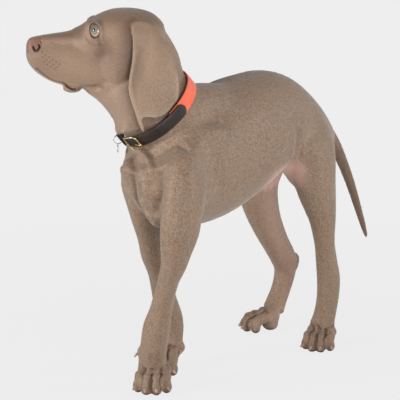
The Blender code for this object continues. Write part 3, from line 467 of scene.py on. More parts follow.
# %% [markdown]
# ## Head
# The head has its own frame: its origin is midway between the eyes, and -Y points along the nose. It
# is three tubes, for the skull, the bridge and the lips, with cheek bones, jaw muscles and brows.

# %% Head
HEAD_ORIGIN = Vector((-0.097, -0.119, 0.519))
HEAD_TURN = math.radians(-51)
HEAD_FRAME = Matrix.Translation(HEAD_ORIGIN) @ Matrix.Rotation(HEAD_TURN, 4, "Z")

# y, half-width, top, widest height, bottom, in the head's frame
SKULL = (
    (-0.032, 0.0200, 0.0000, -0.020, -0.050),
    (-0.022, 0.0250, 0.0045, -0.020, -0.062),
    (-0.010, 0.0310, 0.0125, -0.018, -0.072),
    (0.004, 0.0365, 0.0205, -0.014, -0.078),
    (0.022, 0.0430, 0.0270, -0.010, -0.080),
    (0.042, 0.0465, 0.0285, -0.008, -0.076),
    (0.062, 0.0455, 0.0262, -0.008, -0.066),
    (0.080, 0.0390, 0.0200, -0.008, -0.052),
    (0.095, 0.0250, 0.0060, -0.010, -0.034),
)
BRIDGE = (
    (-0.0985, 0.0085, -0.0150, -0.021, -0.032),
    (-0.0940, 0.0125, -0.0108, -0.020, -0.040),
    (-0.0800, 0.0145, -0.0090, -0.020, -0.045),
    (-0.0600, 0.0160, -0.0068, -0.019, -0.045),
    (-0.0400, 0.0185, -0.0040, -0.018, -0.045),
    (-0.0240, 0.0195, 0.0020, -0.016, -0.045),
    (-0.0050, 0.0235, 0.0130, -0.014, -0.045),
)
LIPS = (
    (-0.0990, 0.0085, -0.0240, -0.034, -0.0410),
    (-0.0965, 0.0150, -0.0200, -0.036, -0.0480),
    (-0.0900, 0.0200, -0.0170, -0.038, -0.0570),
    (-0.0800, 0.0235, -0.0155, -0.041, -0.0660),
    (-0.0640, 0.0265, -0.0150, -0.045, -0.0755),
    (-0.0480, 0.0285, -0.0150, -0.048, -0.0800),
    (-0.0340, 0.0300, -0.0150, -0.049, -0.0830),
    (-0.0200, 0.0315, -0.0150, -0.050, -0.0850),
    (-0.0050, 0.0345, -0.0150, -0.050, -0.0860),
    (0.0150, 0.0365, -0.0150, -0.048, -0.0850),
    (0.0350, 0.0310, -0.0200, -0.046, -0.0780),
)


def add_head(clay):
    frame = HEAD_FRAME
    body_loft(clay, SKULL, frame)
    body_loft(clay, BRIDGE, frame, 0.80)
    body_loft(clay, LIPS, frame, 0.88)
    for centre in both_sides((0.0300, 0.026, -0.0250)):  # cheek bones
        mass(clay, centre, (0.0125, 0.034, 0.0160), frame=frame)
    for centre in both_sides((0.0330, 0.032, -0.0470)):  # jaw muscles
        mass(clay, centre, (0.0150, 0.026, 0.0280), frame=frame)
    for centre in both_sides((0.0205, -0.0030, 0.0060)):  # brows
        mass(clay, centre, (0.0105, 0.0120, 0.0075), (0, 20, 0), frame=frame)
    mass(clay, (0.0, -0.004, -0.0870), (0.0200, 0.0220, 0.0090), (-36, 0, 0), frame=frame)  # throat
    for centre in both_sides((0.0170, -0.036, -0.0835)):  # the lower lip's fold
        mass(clay, centre, (0.0085, 0.0150, 0.0062), frame=frame)


def in_head(places):
    """The places in the head's own frame."""
    inverse = np.array(HEAD_FRAME.inverted())
    return places @ inverse[:3, :3].T + inverse[:3, 3]


# %% [markdown]
# ## Fusing the clay
# A voxel remesh turns the overlapping shapes into one closed skin, and a few rounds of averaging
# rub the joins away: many rounds on the broad trunk, few on the toes and the face, which would melt.

# %% Fuse and relax
SKIN_GRAIN = 0.0017  # size of the remesh's cells
EXTRA_ROUNDS = (0.0026 / SKIN_GRAIN) ** 2
COLLAR_CENTRE = Vector((-0.0258, -0.0745, 0.4080))
COLLAR_TO_NAPE = Vector((0.331, 0.661, 0.673))
COLLAR_TO_LEFT = Vector((0.914, -0.401, -0.056))
COLLAR_HALF_LENGTH = 0.0615
COLLAR_HALF_WIDTH = 0.0545
COLLAR_CLEARANCE = 0.0008
COLLAR_HOLLOW = 0.0105


def rounds_of_smoothing(places):
    """Many rounds for the broad trunk, few for the head and the paws."""
    height = np.clip((places[:, 2] - 0.20) / 0.08, 0, 1)
    tail = np.clip((places[:, 1] - 0.31) / 0.03, 0, 1)
    away = np.linalg.norm(places - np.array(HEAD_ORIGIN) - (0.02, 0.02, -0.02), axis=1)
    headless = np.clip((away - 0.085) / 0.03, 0, 1)
    paw = np.clip((places[:, 2] - 0.035) / 0.02, 0, 1)
    shoulder = around_point(places, (0.045, -0.095, 0.340), 0.072, 4)
    far_shoulder = around_point(places, (-0.040, -0.110, 0.335), 0.045, 4)
    return 3 + 5 * paw * headless + 26 * height * headless * (1 - tail) + 100 * shoulder + 60 * far_shoulder


def relax(mesh, rounds=None):
    places = points_of(mesh)
    count = len(places)
    edges = np.empty(len(mesh.edges) * 2, dtype=np.int64)
    mesh.edges.foreach_get("vertices", edges)
    one, other = edges.reshape(-1, 2).T
    degree = np.bincount(edges, minlength=count)[:, None]
    if rounds is None:
        rounds = EXTRA_ROUNDS * rounds_of_smoothing(places)
    for done in range(int(rounds.max())):
        total = np.zeros_like(places)
        for axis in range(3):
            total[:, axis] += np.bincount(one, places[other, axis], count)
            total[:, axis] += np.bincount(other, places[one, axis], count)
        share = 0.5 * np.clip(rounds - done, 0, 1)[:, None]
        places += share * (total / degree - places)
    set_points(mesh, places)


def collar_axes():
    """From the collar's centre to the nape, to the left side, and up its axis to the head."""
    nape = COLLAR_TO_NAPE.normalized()
    left = (COLLAR_TO_LEFT - nape * COLLAR_TO_LEFT.dot(nape)).normalized()
    axis = nape.cross(left)
    return nape, left, -axis if axis.z < 0 else axis


def collar_radius(angle):
    """The collar is an oval, longer from nape to throat."""
    return 1.0 / np.hypot(np.cos(angle) / COLLAR_HALF_LENGTH, np.sin(angle) / COLLAR_HALF_WIDTH)


def press_neck(mesh):
    """Presses the flesh in under the collar, so that the skin bulges a little on both sides."""
    nape, left, axis = (np.array(way) for way in collar_axes())
    places = points_of(mesh)
    away = places - np.array(COLLAR_CENTRE)
    height = away @ axis
    out = away - height[:, None] * axis
    reach = np.maximum(np.linalg.norm(out, axis=1), 1e-6)
    beyond = np.clip(np.abs(height) - COLLAR_HOLLOW, 0, None)
    limit = collar_radius(np.arctan2(out @ left, out @ nape)) - COLLAR_CLEARANCE + 60 * beyond**2
    near = (np.abs(height) < 0.035) & (reach < 0.10)
    share = np.where(near, np.minimum(limit / reach, 1.0), 1.0)
    places -= out * (1 - share)[:, None]
    set_points(mesh, places)


def fuse(clay, name, grain):
    body = new_object(name, mesh_from(clay, name))
    fused = body.modifiers.new("fuse", "REMESH")
    fused.mode = "VOXEL"
    fused.voxel_size = grain
    return apply_modifiers(body)


clay = bmesh.new()
add_trunk(clay)
add_legs(clay)
for paw in PAWS:
    add_paw(clay, paw)
    if paw.dewclaw:
        dewclaw_toe(clay, paw)
add_head(clay)
skin = fuse(clay, "skin", SKIN_GRAIN)
relax(skin.data)
press_neck(skin.data)
print("flesh", len(skin.data.polygons), "faces")

# %% [markdown]
# ## Ears
# A hound's ear is a soft leaf that hangs from a fold. Its four edges are curves, the leaf between
# them is a blend of those curves, and it is draped so that it always clears the head and the neck.
# It could be a cloth, but its set on the head matters more than any fall of folds.

# %% Ears
GAP = 0.0003
EAR_GRAIN = 0.0014  # fine enough to keep the gap behind the ear
EAR_THICKNESS = 0.0038
# the ear's edges in the head's frame: y and z, from its root down
EAR_FRONT = (
    (0.0510, 0.0100),
    (0.0488, 0.0000),
    (0.0495, -0.0160),
    (0.0496, -0.0320),
    (0.0480, -0.0445),
    (0.0450, -0.0605),
    (0.0432, -0.0747),
    (0.0464, -0.0926),
    (0.0525, -0.1104),
    (0.0590, -0.1290),
    (0.0625, -0.1360),
)
EAR_BACK = (
    (0.0870, -0.0015),
    (0.0930, -0.0105),
    (0.1002, -0.0200),
    (0.1060, -0.0344),
    (0.1098, -0.0504),
    (0.1120, -0.0645),
    (0.1128, -0.0789),
)
EAR_TOP = ((0.0510, 0.0100), (0.0600, 0.0145), (0.0720, 0.0135), (0.0815, 0.0070), (0.0870, -0.0015))
EAR_BOTTOM = (
    (0.0625, -0.1360),
    (0.0645, -0.1310),
    (0.0610, -0.1170),
    (0.0684, -0.1142),
    (0.0807, -0.1151),
    (0.0931, -0.1108),
    (0.1038, -0.1002),
    (0.1110, -0.0915),
    (0.1128, -0.0789),
)
EAR_ROWS, EAR_COLUMNS = 30, 22


def along_curve(points, t):
    """A point at the share t of a smoothed polyline's length."""
    rows = smooth_between(points, 5)
    lengths = [0.0]
    for a, b in zip(rows, rows[1:]):
        lengths.append(lengths[-1] + math.dist(a, b))
    want = t * lengths[-1]
    for k in range(1, len(rows)):
        if lengths[k] >= want - 1e-12:
            span = lengths[k] - lengths[k - 1]
            share = (want - lengths[k - 1]) / span if span > 1e-12 else 0.0
            return Vector(rows[k - 1]).lerp(Vector(rows[k]), share)
    return Vector(rows[-1])


def ear_outward(u, v):
    """How far the ear hangs out from the head's middle plane; it is rolled at its front edge."""
    hang = 0.041 + 0.020 * math.sin(min(u * 1.35, 1.0) * math.pi / 2)
    roll = 0.005 * math.exp(-((v - 0.10) / 0.10) ** 2) * math.sin(math.pi * min(u * 1.1, 1.0))
    hollow = -0.0030 * math.exp(-((v - 0.34) / 0.12) ** 2) * math.sin(math.pi * u)
    swell = 0.0030 * math.exp(-((v - 0.62) / 0.20) ** 2) * math.sin(math.pi * u)
    flare = 0.004 * max(v - 0.75, 0) * 4 * u
    return hang + roll + hollow + swell + flare


EAR_LEAF, EAR_RIM = [], []  # the ears' points, and those of their free edges


def ear_gap(places, points):
    """The distance to the nearest of an ear's points, for the places that may be near one."""
    here = in_head(places)
    near = (np.abs(here[:, 0]) > 0.030) & (here[:, 1] > 0.025) & (here[:, 1] < 0.13)
    near = np.flatnonzero(near & (here[:, 2] > -0.16) & (here[:, 2] < 0.03) & (np.abs(here[:, 0]) < 0.10))
    gap, points = np.full(len(places), 1.0), np.array(points)
    for rows in np.array_split(near, 1 + len(near) // 3000):
        gap[rows] = np.linalg.norm(places[rows, None] - points[None], axis=2).min(1)
    return gap


def ear_mesh(mirror, tree):
    """A pendent leaf between four edges, draped so that it clears the head and the neck."""
    inverse = HEAD_FRAME.inverted()
    way = (HEAD_FRAME.to_3x3() @ Vector((-mirror, 0, 0))).normalized()
    grid = []
    for i in range(EAR_ROWS):
        u = i / (EAR_ROWS - 1)
        row = []
        for j in range(EAR_COLUMNS):
            v = j / (EAR_COLUMNS - 1)
            front, back = along_curve(EAR_FRONT, u), along_curve(EAR_BACK, u)
            top, bottom = along_curve(EAR_TOP, v), along_curve(EAR_BOTTOM, v)
            place = front * (1 - v) + back * v + top * (1 - u) + bottom * u
            place -= Vector(EAR_TOP[0]) * (1 - u) * (1 - v) + Vector(EAR_TOP[-1]) * (1 - u) * v
            place -= Vector(EAR_BOTTOM[0]) * u * (1 - v) + Vector(EAR_BOTTOM[-1]) * u * v
            out = ear_outward(u, v)
            start = HEAD_FRAME @ Vector((mirror * 0.12, place.x, place.y))
            hit = tree.ray_cast(start, way)[0]
            if hit is not None:
                wall = abs((inverse @ hit).x)
                room = GAP + 0.5 * EAR_THICKNESS + 0.0012
                room += 0.006 * min(u * 3, 1.0)
                room += 0.004 * max(u - 0.4, 0)
                out = max(out, wall + room)
            row.append([place.x, place.y, out])
        grid.append(row)
    outs = np.array([[cell[2] for cell in row] for row in grid])
    for _ in range(18):  # eases the steps between draped and free points, never inwards
        eased = outs.copy()
        eased[1:-1, :] = (outs[:-2, :] + outs[2:, :] + 2 * outs[1:-1, :]) / 4
        outs = np.maximum(outs, eased)
    work = bmesh.new()
    verts = []
    for i, row in enumerate(grid):
        line = []
        for j, (y, z, _) in enumerate(row):
            line.append(work.verts.new(HEAD_FRAME @ Vector((mirror * outs[i, j], y, z))))
            EAR_LEAF.append(tuple(line[-1].co))
            if j == 0 and i > 8 or i == EAR_ROWS - 1 or j == EAR_COLUMNS - 1 and i > 20:
                EAR_RIM.append(tuple(line[-1].co))
        verts.append(line)
    for i in range(EAR_ROWS - 1):
        for j in range(EAR_COLUMNS - 1):
            corners = (verts[i][j], verts[i][j + 1], verts[i + 1][j + 1], verts[i + 1][j])
            work.faces.new(corners if mirror < 0 else tuple(reversed(corners)))
    return mesh_from(work, "ear")


def flesh_tree(obj):
    work = bmesh.new()
    work.from_mesh(obj.data)
    tree = BVHTree.FromBMesh(work)
    work.free()
    return tree


tree = flesh_tree(skin)
both = bmesh.new()
both.from_mesh(skin.data)
for side, mirror in (("left", 1), ("right", -1)):
    ear = new_object("ear_" + side, ear_mesh(mirror, tree))
    leaf = ear.modifiers.new("thickness", "SOLIDIFY")
    leaf.thickness = EAR_THICKNESS
    leaf.offset = 0.0
    leaf.use_even_offset = False
    apply_modifiers(ear)
    both.from_mesh(ear.data)
    bpy.data.objects.remove(ear)
bpy.data.objects.remove(skin)
skin = fuse(both, "skin", EAR_GRAIN)
print("with ears", len(skin.data.polygons), "faces")

# %% [markdown]
# ## Where the face needs more points
# Lids, nostrils and lips are finer than the remesh's cells. Only the faces round them are split once
# more, so that the rest of the skin stays light.

# %% Split the faces of the eyes, the nose and the lips
start = points_of(skin.data)
crown = around_point(in_head(start)[:, 1:], (0.088, 0.006), 0.022)
relax(skin.data, 3.0 + 40 * crown)
EYE_RADIUS = 0.0105
EYE_PLACE = Vector((0.0250, 0.0016, -0.0010))  # the left eye's centre, in the head's frame
EYE_OUT = Vector((0.84, -0.53, 0.12)).normalized()  # the way the left eye's opening faces
OPENING = (0.0066, 0.0090)  # half its width and half its height


def mirrored(places):
    """The head's places with the right half folded onto the left."""
    here = in_head(places)
    here[:, 0] = np.abs(here[:, 0])
    return here


def eye_spread(places):
    """How far out from the middle of the eye's opening a place is: 1 is the lids' edge."""
    away = mirrored(places) - np.array(EYE_PLACE)
    out = np.array(EYE_OUT)
    along = np.array(Vector((EYE_OUT.y, -EYE_OUT.x, 0)).normalized())
    up = np.cross(along, out)
    up *= np.sign(up[2])
    a, b, c = away @ along, away @ up, away @ out
    spread = np.hypot((a - 0.15 * b) / OPENING[0], b / OPENING[1])
    spread[(c < -0.006) | (np.linalg.norm(away, axis=1) > 0.030)] = 9.0
    return spread, a, b, c


def split_faces(mesh, wanted):
    """Splits the faces whose middle is wanted into four."""
    work = bmesh.new()
    work.from_mesh(mesh)
    work.faces.ensure_lookup_table()
    chosen = {e for k in np.flatnonzero(wanted) for e in work.faces[k].edges}
    bmesh.ops.subdivide_edges(work, edges=list(chosen), cuts=1, use_grid_fill=True)
    bmesh.ops.triangulate(work, faces=[f for f in work.faces if len(f.verts) > 4])
    work.to_mesh(mesh)
    work.free()


def face_middles(mesh):
    middles = np.empty(len(mesh.polygons) * 3)
    mesh.polygons.foreach_get("center", middles)
    return middles.reshape(-1, 3)


middles = face_middles(skin.data)
in_face = mirrored(middles)
near_eye = eye_spread(middles)[0] < 2.0
near_muzzle = (in_face[:, 1] < -0.020) & (in_face[:, 2] < 0.004) & (np.abs(in_face[:, 0]) < 0.04)
near_muzzle &= np.linalg.norm(in_face, axis=1) < 0.13
split_faces(skin.data, near_eye | near_muzzle)
print("split", int((near_eye | near_muzzle).sum()), "faces")

# %% [markdown]
# ## Lids, lips, nostrils and folds
# Folds are pressed into the skin as a modelling tool does it: a line on the surface, a width and a
# depth. A line also keeps a painted shade, because the bottom of a fold lies in shade and is
# darker than its banks.

# %% Tools for pressing folds
DARKENED_LINES = []  # lines painted darker, most of them painted shade in folds and between the toes: the line, its width and its strength


def crease(places, normals, path, width, depth, swell=0.0, fold_shade=0.0):
    """Presses a line into the skin, raises its two banks, and remembers its painted shade."""
    line = np.array(smooth_between([tuple(p) for p in path], 6))
    near = np.all((places > line.min(0) - 5 * width) & (places < line.max(0) + 5 * width), axis=1)
    if fold_shade:
        some, ways = places[near], normals[near]
        closest = [np.argmin(np.linalg.norm(some - p, axis=1)) for p in line]
        bed = [p - 0.7 * depth * ways[k] for p, k in zip(line, closest)]
        DARKENED_LINES.append((np.array(bed), math.hypot(width, 0.5 * depth), fold_shade))
    gap = gap_to(places[near], line)
    push = -depth * np.exp(-((gap / width) ** 2)) + swell * np.exp(-(((gap - 2 * width) / width) ** 2))
    places[near] += normals[near] * push[:, None]


def gap_to(some, line):
    """The distance of each place to a line of points."""
    gap = np.full(len(some), 1.0)
    for a, b in zip(line, line[1:]):
        way = b - a
        share = np.clip((some - a) @ way / max(way @ way, 1e-12), 0, 1)
        gap = np.minimum(gap, np.linalg.norm(some - a - share[:, None] * way, axis=1))
    return gap


def bump(places, normals, centre, radius, height):
    places += normals * (height * around_point(places, centre, radius))[:, None]


def on_head(places, rows, side):
    """The skin's outermost points at rows of y and z in the head's frame, on one side."""
    here = in_head(places)
    found = []
    for y, z in rows:
        away = np.hypot(here[:, 1] - y, here[:, 2] - z)
        near = np.flatnonzero((away < 0.003) & (side * here[:, 0] > 0.002) & (here[:, 0] ** 2 < 0.0017))
        found.append(places[near[np.argmax(side * here[near, 0])]])
    return found


def on_skin(places, rows):
    """The skin's points nearest to some rough places."""
    return [places[np.argmin(np.linalg.norm(places - np.array(p), axis=1))] for p in rows]


# %% The lids
def press_lids(places):
    """Opens the lids over the ball, with a rim round the opening and a hollow outside it."""
    spread, a, b, c = eye_spread(places)
    near = spread < 2.6
    ball = np.sqrt(np.maximum(EYE_RADIUS**2 - a**2 - b**2, 0.0))
    rim = np.sqrt(EYE_RADIUS**2 - OPENING[0] * OPENING[1]) + 0.0012
    inside = ball - 0.0030 * ramp(1 - spread, 0.02, 0.20) + 0.0004
    outside = rim + (c - rim) * ramp(spread, 1.10, 2.2)
    wanted = np.where(spread < 1.0, inside, outside)
    ring = 0.0006 * np.exp(-(((spread - 1.16) / 0.10) ** 2))
    hollow = -0.0009 * np.exp(-(((spread - 1.55) / 0.16) ** 2))
    move = (wanted - c + ring + hollow)[near]
    local = np.tile(np.array(EYE_OUT), (near.sum(), 1))
    local[:, 0] *= np.sign(in_head(places[near])[:, 0])
    turn = np.array(HEAD_FRAME.to_3x3())
    places[near] += (local @ turn.T) * move[:, None]


places = points_of(skin.data)
press_lids(places)
set_points(skin.data, places)

# %% The lips, the nostrils and the brows
MOUTH = ((-0.0860, -0.0560), (-0.0740, -0.0660), (-0.0620, -0.0735), (-0.0500, -0.0765), (-0.0390, -0.0780))
MOUTH += ((-0.0320, -0.0825), (-0.0270, -0.0835))
JAW_SHADOW = ((-0.0235, -0.0825), (-0.0130, -0.0815), (-0.0020, -0.0805), (0.0060, -0.0800))
NOSTRIL = ((-0.0900, -0.0220), (-0.0872, -0.0258), (-0.0835, -0.0254), (-0.0805, -0.0210), (-0.0802, -0.0180))
NOSE_EDGE = ((-0.0770, -0.0130), (-0.0772, -0.0215), (-0.0820, -0.0268), (-0.0880, -0.0305),
    (-0.0940, -0.0330))
BROW_FOLD = ((-0.0010, 0.0135), (0.0020, 0.0060), (0.0035, -0.0040), (0.0030, -0.0150))
BELOW_EYE = ((-0.0150, -0.0090), (-0.0090, -0.0135), (-0.0010, -0.0165), (0.0060, -0.0145))
places, normals = points_of(skin.data), normals_of(skin.data)
# painted shade in the mouth's line, under the jaw, in the nostrils, along the nose's edge, in the brow's fold
# and below the eye
for side in (1, -1):
    crease(places, normals, on_head(places, MOUTH, side), 0.0014, 0.0026, 0.0006, fold_shade=0.9)
    crease(places, normals, on_head(places, JAW_SHADOW, side), 0.0024, 0.0004, 0.0, fold_shade=0.40)
    crease(places, normals, on_head(places, NOSTRIL, side), 0.0013, 0.0034, 0.0004, fold_shade=1.0)
    crease(places, normals, on_head(places, NOSE_EDGE, side), 0.0011, 0.0009, 0.0002, fold_shade=0.3)
    crease(places, normals, on_head(places, BROW_FOLD, side), 0.0022, 0.0013, 0.0007, fold_shade=0.35)
    crease(places, normals, on_head(places, BELOW_EYE, side), 0.0022, 0.0008, 0.0006, fold_shade=0.12)
    bump(places, normals, on_head(places, [(-0.0070, 0.0120)], side)[0], 0.0055, 0.0016)
    bump(places, normals, on_head(places, [(-0.0640, -0.0160)], side)[0], 0.0045, 0.0008)
set_points(skin.data, places)
print("face pressed")

# %% [markdown]
# ## Folds of the body
# Loose skin of a young dog gathers where the body turns: behind the shoulder, below the collar and
# in front of the haunch. Toes are parted a little deeper than the clay had them.

# %% Folds of the body and the toes
places, normals = points_of(skin.data), normals_of(skin.data)
TOE_FURROWS = (-0.0140, 0.0, 0.0140)
OVER_TOES = ((-0.014, 0.0400), (-0.026, 0.0340), (-0.036, 0.0290), (-0.045, 0.0230), (-0.049, 0.0140),
    (-0.048, 0.0070))
BEHIND_TOES = ((-0.017, -0.010, 0.036), (0.0, -0.012, 0.042), (0.017, -0.010, 0.036))
# painted shade in the furrows between the toes and behind them
for paw in PAWS:
    for across in TOE_FURROWS:
        shorter = 0.004 * abs(across) / 0.014
        rows = []
        for k, (y, z) in enumerate(OVER_TOES):
            rows.append(paw.frame @ Vector((across * (0.8 + 0.25 * k / 5), y + shorter, z)))
        crease(places, normals, on_skin(places, rows), 0.0020, 0.0034, 0.0004, fold_shade=0.62)
    rows = [paw.frame @ Vector(row) for row in BEHIND_TOES]
    crease(places, normals, on_skin(places, rows), 0.0034, 0.0022, 0.0006, fold_shade=0.35)
    # darker lines where each claw leaves its toe
    for across, forward in TOES:
        rows = [paw.frame @ Vector((across * 1.05, -forward - reach, 0.0110)) for reach in (0.006, 0.010)]
        DARKENED_LINES.append((np.array([tuple(p) for p in rows]), 0.0046, 0.38))
# a darker band across the front of the near wrist
DARKENED_LINES.append((np.array(((-0.0120, -0.1100, 0.0540), (0.0020, -0.1040, 0.0520))), 0.0060, 0.28))
FOLDS = (
    # rough points on the skin, width, depth (a ridge where it is below nought), banks, painted shade
    (((0.0020, -0.1330, 0.3170), (0.0030, -0.1330, 0.2990)), 0.0115, -0.0072, 0.0, 0.0),
    (((0.0230, -0.1290, 0.3260), (0.0300, -0.1330, 0.3060), (0.0220, -0.1310, 0.2880),
        (0.0110, -0.1240, 0.2710)), 0.0060, 0.0044, 0.0, 0.26),
    (((-0.0180, -0.1390, 0.3180), (-0.0240, -0.1240, 0.2850), (-0.0300, -0.1080, 0.2620)), 0.0042, 0.0034,
        0.0006, 0.32),
    (((-0.0210, -0.1215, 0.3520), (-0.0050, -0.1245, 0.3430), (0.0100, -0.1300, 0.3290)), 0.0056, -0.0052,
        0.0, 0.0),
    (((-0.0280, -0.1290, 0.3470), (-0.0150, -0.1410, 0.3310)), 0.0070, 0.0046, 0.0, 0.30),
    (((-0.0090, -0.1280, 0.2850), (-0.0050, -0.1200, 0.2640)), 0.0060, -0.0044, 0.0, 0.0),
    (((0.0460, -0.0260, 0.3960), (0.0576, -0.0328, 0.3750), (0.0631, -0.0500, 0.3450),
        (0.0620, -0.0580, 0.3000), (0.0680, -0.0850, 0.2700)), 0.0050, -0.0034, 0.0, 0.0),
    (((0.0480, -0.0120, 0.3980), (0.0610, -0.0200, 0.3750), (0.0670, -0.0370, 0.3450),
        (0.0680, -0.0450, 0.3000)), 0.0080, 0.0020, 0.0, 0.14),
    (((0.0750, 0.1650, 0.3000), (0.0720, 0.1500, 0.3300), (0.0660, 0.1400, 0.3650)), 0.0080, 0.0018, 0.0012,
        0.10),
    (((-0.0700, -0.0300, 0.4000), (-0.0700, -0.0200, 0.3500), (-0.0640, -0.0300, 0.3000)), 0.0090, 0.0018,
        0.0012, 0.08),
)
for rows, width, depth, swell, fold_shade in FOLDS:
    crease(places, normals, on_skin(places, rows), width, depth, swell, fold_shade)
set_points(skin.data, places)
print("folds", len(FOLDS))

# %% [markdown]
# ## The skin lies under the coat
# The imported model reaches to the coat's tips, so the skin is drawn in by about an eighth of the hair's
# length: a third of a millimetre on the face and the feet, three quarters on the trunk. The pads
# stand flat.

# %% Length of the hair, and the skin drawn in
def on_ear(places):
    """1 on the ears and 0 elsewhere."""
    return 1 - ramp(ear_gap(places, EAR_LEAF), 0.0036, 0.0052)


def hair_length(places):
    """Short on the face, the ears and the feet, longest on the neck and the trunk, in metres."""
    here = mirrored(places)
    head = 1 - ramp(np.linalg.norm(here - (0.02, 0.0, -0.03), axis=1), 0.085, 0.135)
    head = np.maximum(head, on_ear(places))
    face = 0.0025 - 0.0010 * (1 - ramp(here[:, 1], -0.05, 0.02))
    low = 0.0024 + 0.0016 * ramp(places[:, 2], 0.03, 0.12)
    body = low + (0.0056 - low) * ramp(places[:, 2], 0.14, 0.28)
    return body * (1 - head) + face * head


SHARE_UNDER_COAT = 0.13  # how far the skin is drawn in, as a share of the hair's length
PAD_LEVEL = 0.0012  # the floor, at the modelling place
TUFT_LEVEL = 0.00125  # no tuft reaches below this


def draw_in(mesh):
    places, normals = points_of(mesh), normals_of(mesh)
    depth = SHARE_UNDER_COAT * hair_length(places)
    depth *= np.where(eye_spread(places)[0] < 1.6, 0.0, 1.0)
    places -= normals * depth[:, None]
    low = places[:, 2] < PAD_LEVEL + 0.0001
    places[low, 2] = PAD_LEVEL
    set_points(mesh, places)
    return int(low.sum())


print("points on the floor", draw_in(skin.data))
SKIN_TRIANGLES = 190000
skin.data.calc_loop_triangles()
if len(skin.data.loop_triangles) > SKIN_TRIANGLES:
    kept = skin.vertex_groups.new(name="thinned")
    near = mirrored(points_of(skin.data))
    face = (np.linalg.norm(near, axis=1) < 0.118) & (near[:, 1] < 0.012) & (near[:, 0] < 0.05)
    kept.add(np.flatnonzero(~face).tolist(), 1.0, "REPLACE")
    thin = skin.modifiers.new("thin", "DECIMATE")
    thin.vertex_group = kept.name
    thin.ratio = SKIN_TRIANGLES / len(skin.data.loop_triangles) * 0.995
    apply_modifiers(skin)
skin.data.calc_loop_triangles()
print("skin", len(skin.data.loop_triangles), "triangles")

# %% [markdown]
# ## Marks of the skin
# The coat is one colour, but the skin isn't: the lids are dark, the groin and the corner of the eye
# are pink, and the nose is bare leather. Painted shade darkens the lips' line, the folds, the brows,
# the tops of the head and the neck under the ear, and a painted highlight lightens the ears' rims.
# Each mark is a number at every point, which the skin's material and the tufts rooted there both
# read, so that they always agree.

# %% Marks as attributes
WHISKER_DOTS = [(-0.0755 + 0.0048 * k, -0.0305 - 0.0032 * k) for k in range(6)]
WHISKER_DOTS += [(-0.0745 + 0.0050 * k, -0.0370 - 0.0034 * k) for k in range(5)]
WHISKER_DOTS += [(-0.0735 + 0.0052 * k, -0.0440 - 0.0030 * k) for k in range(4)]


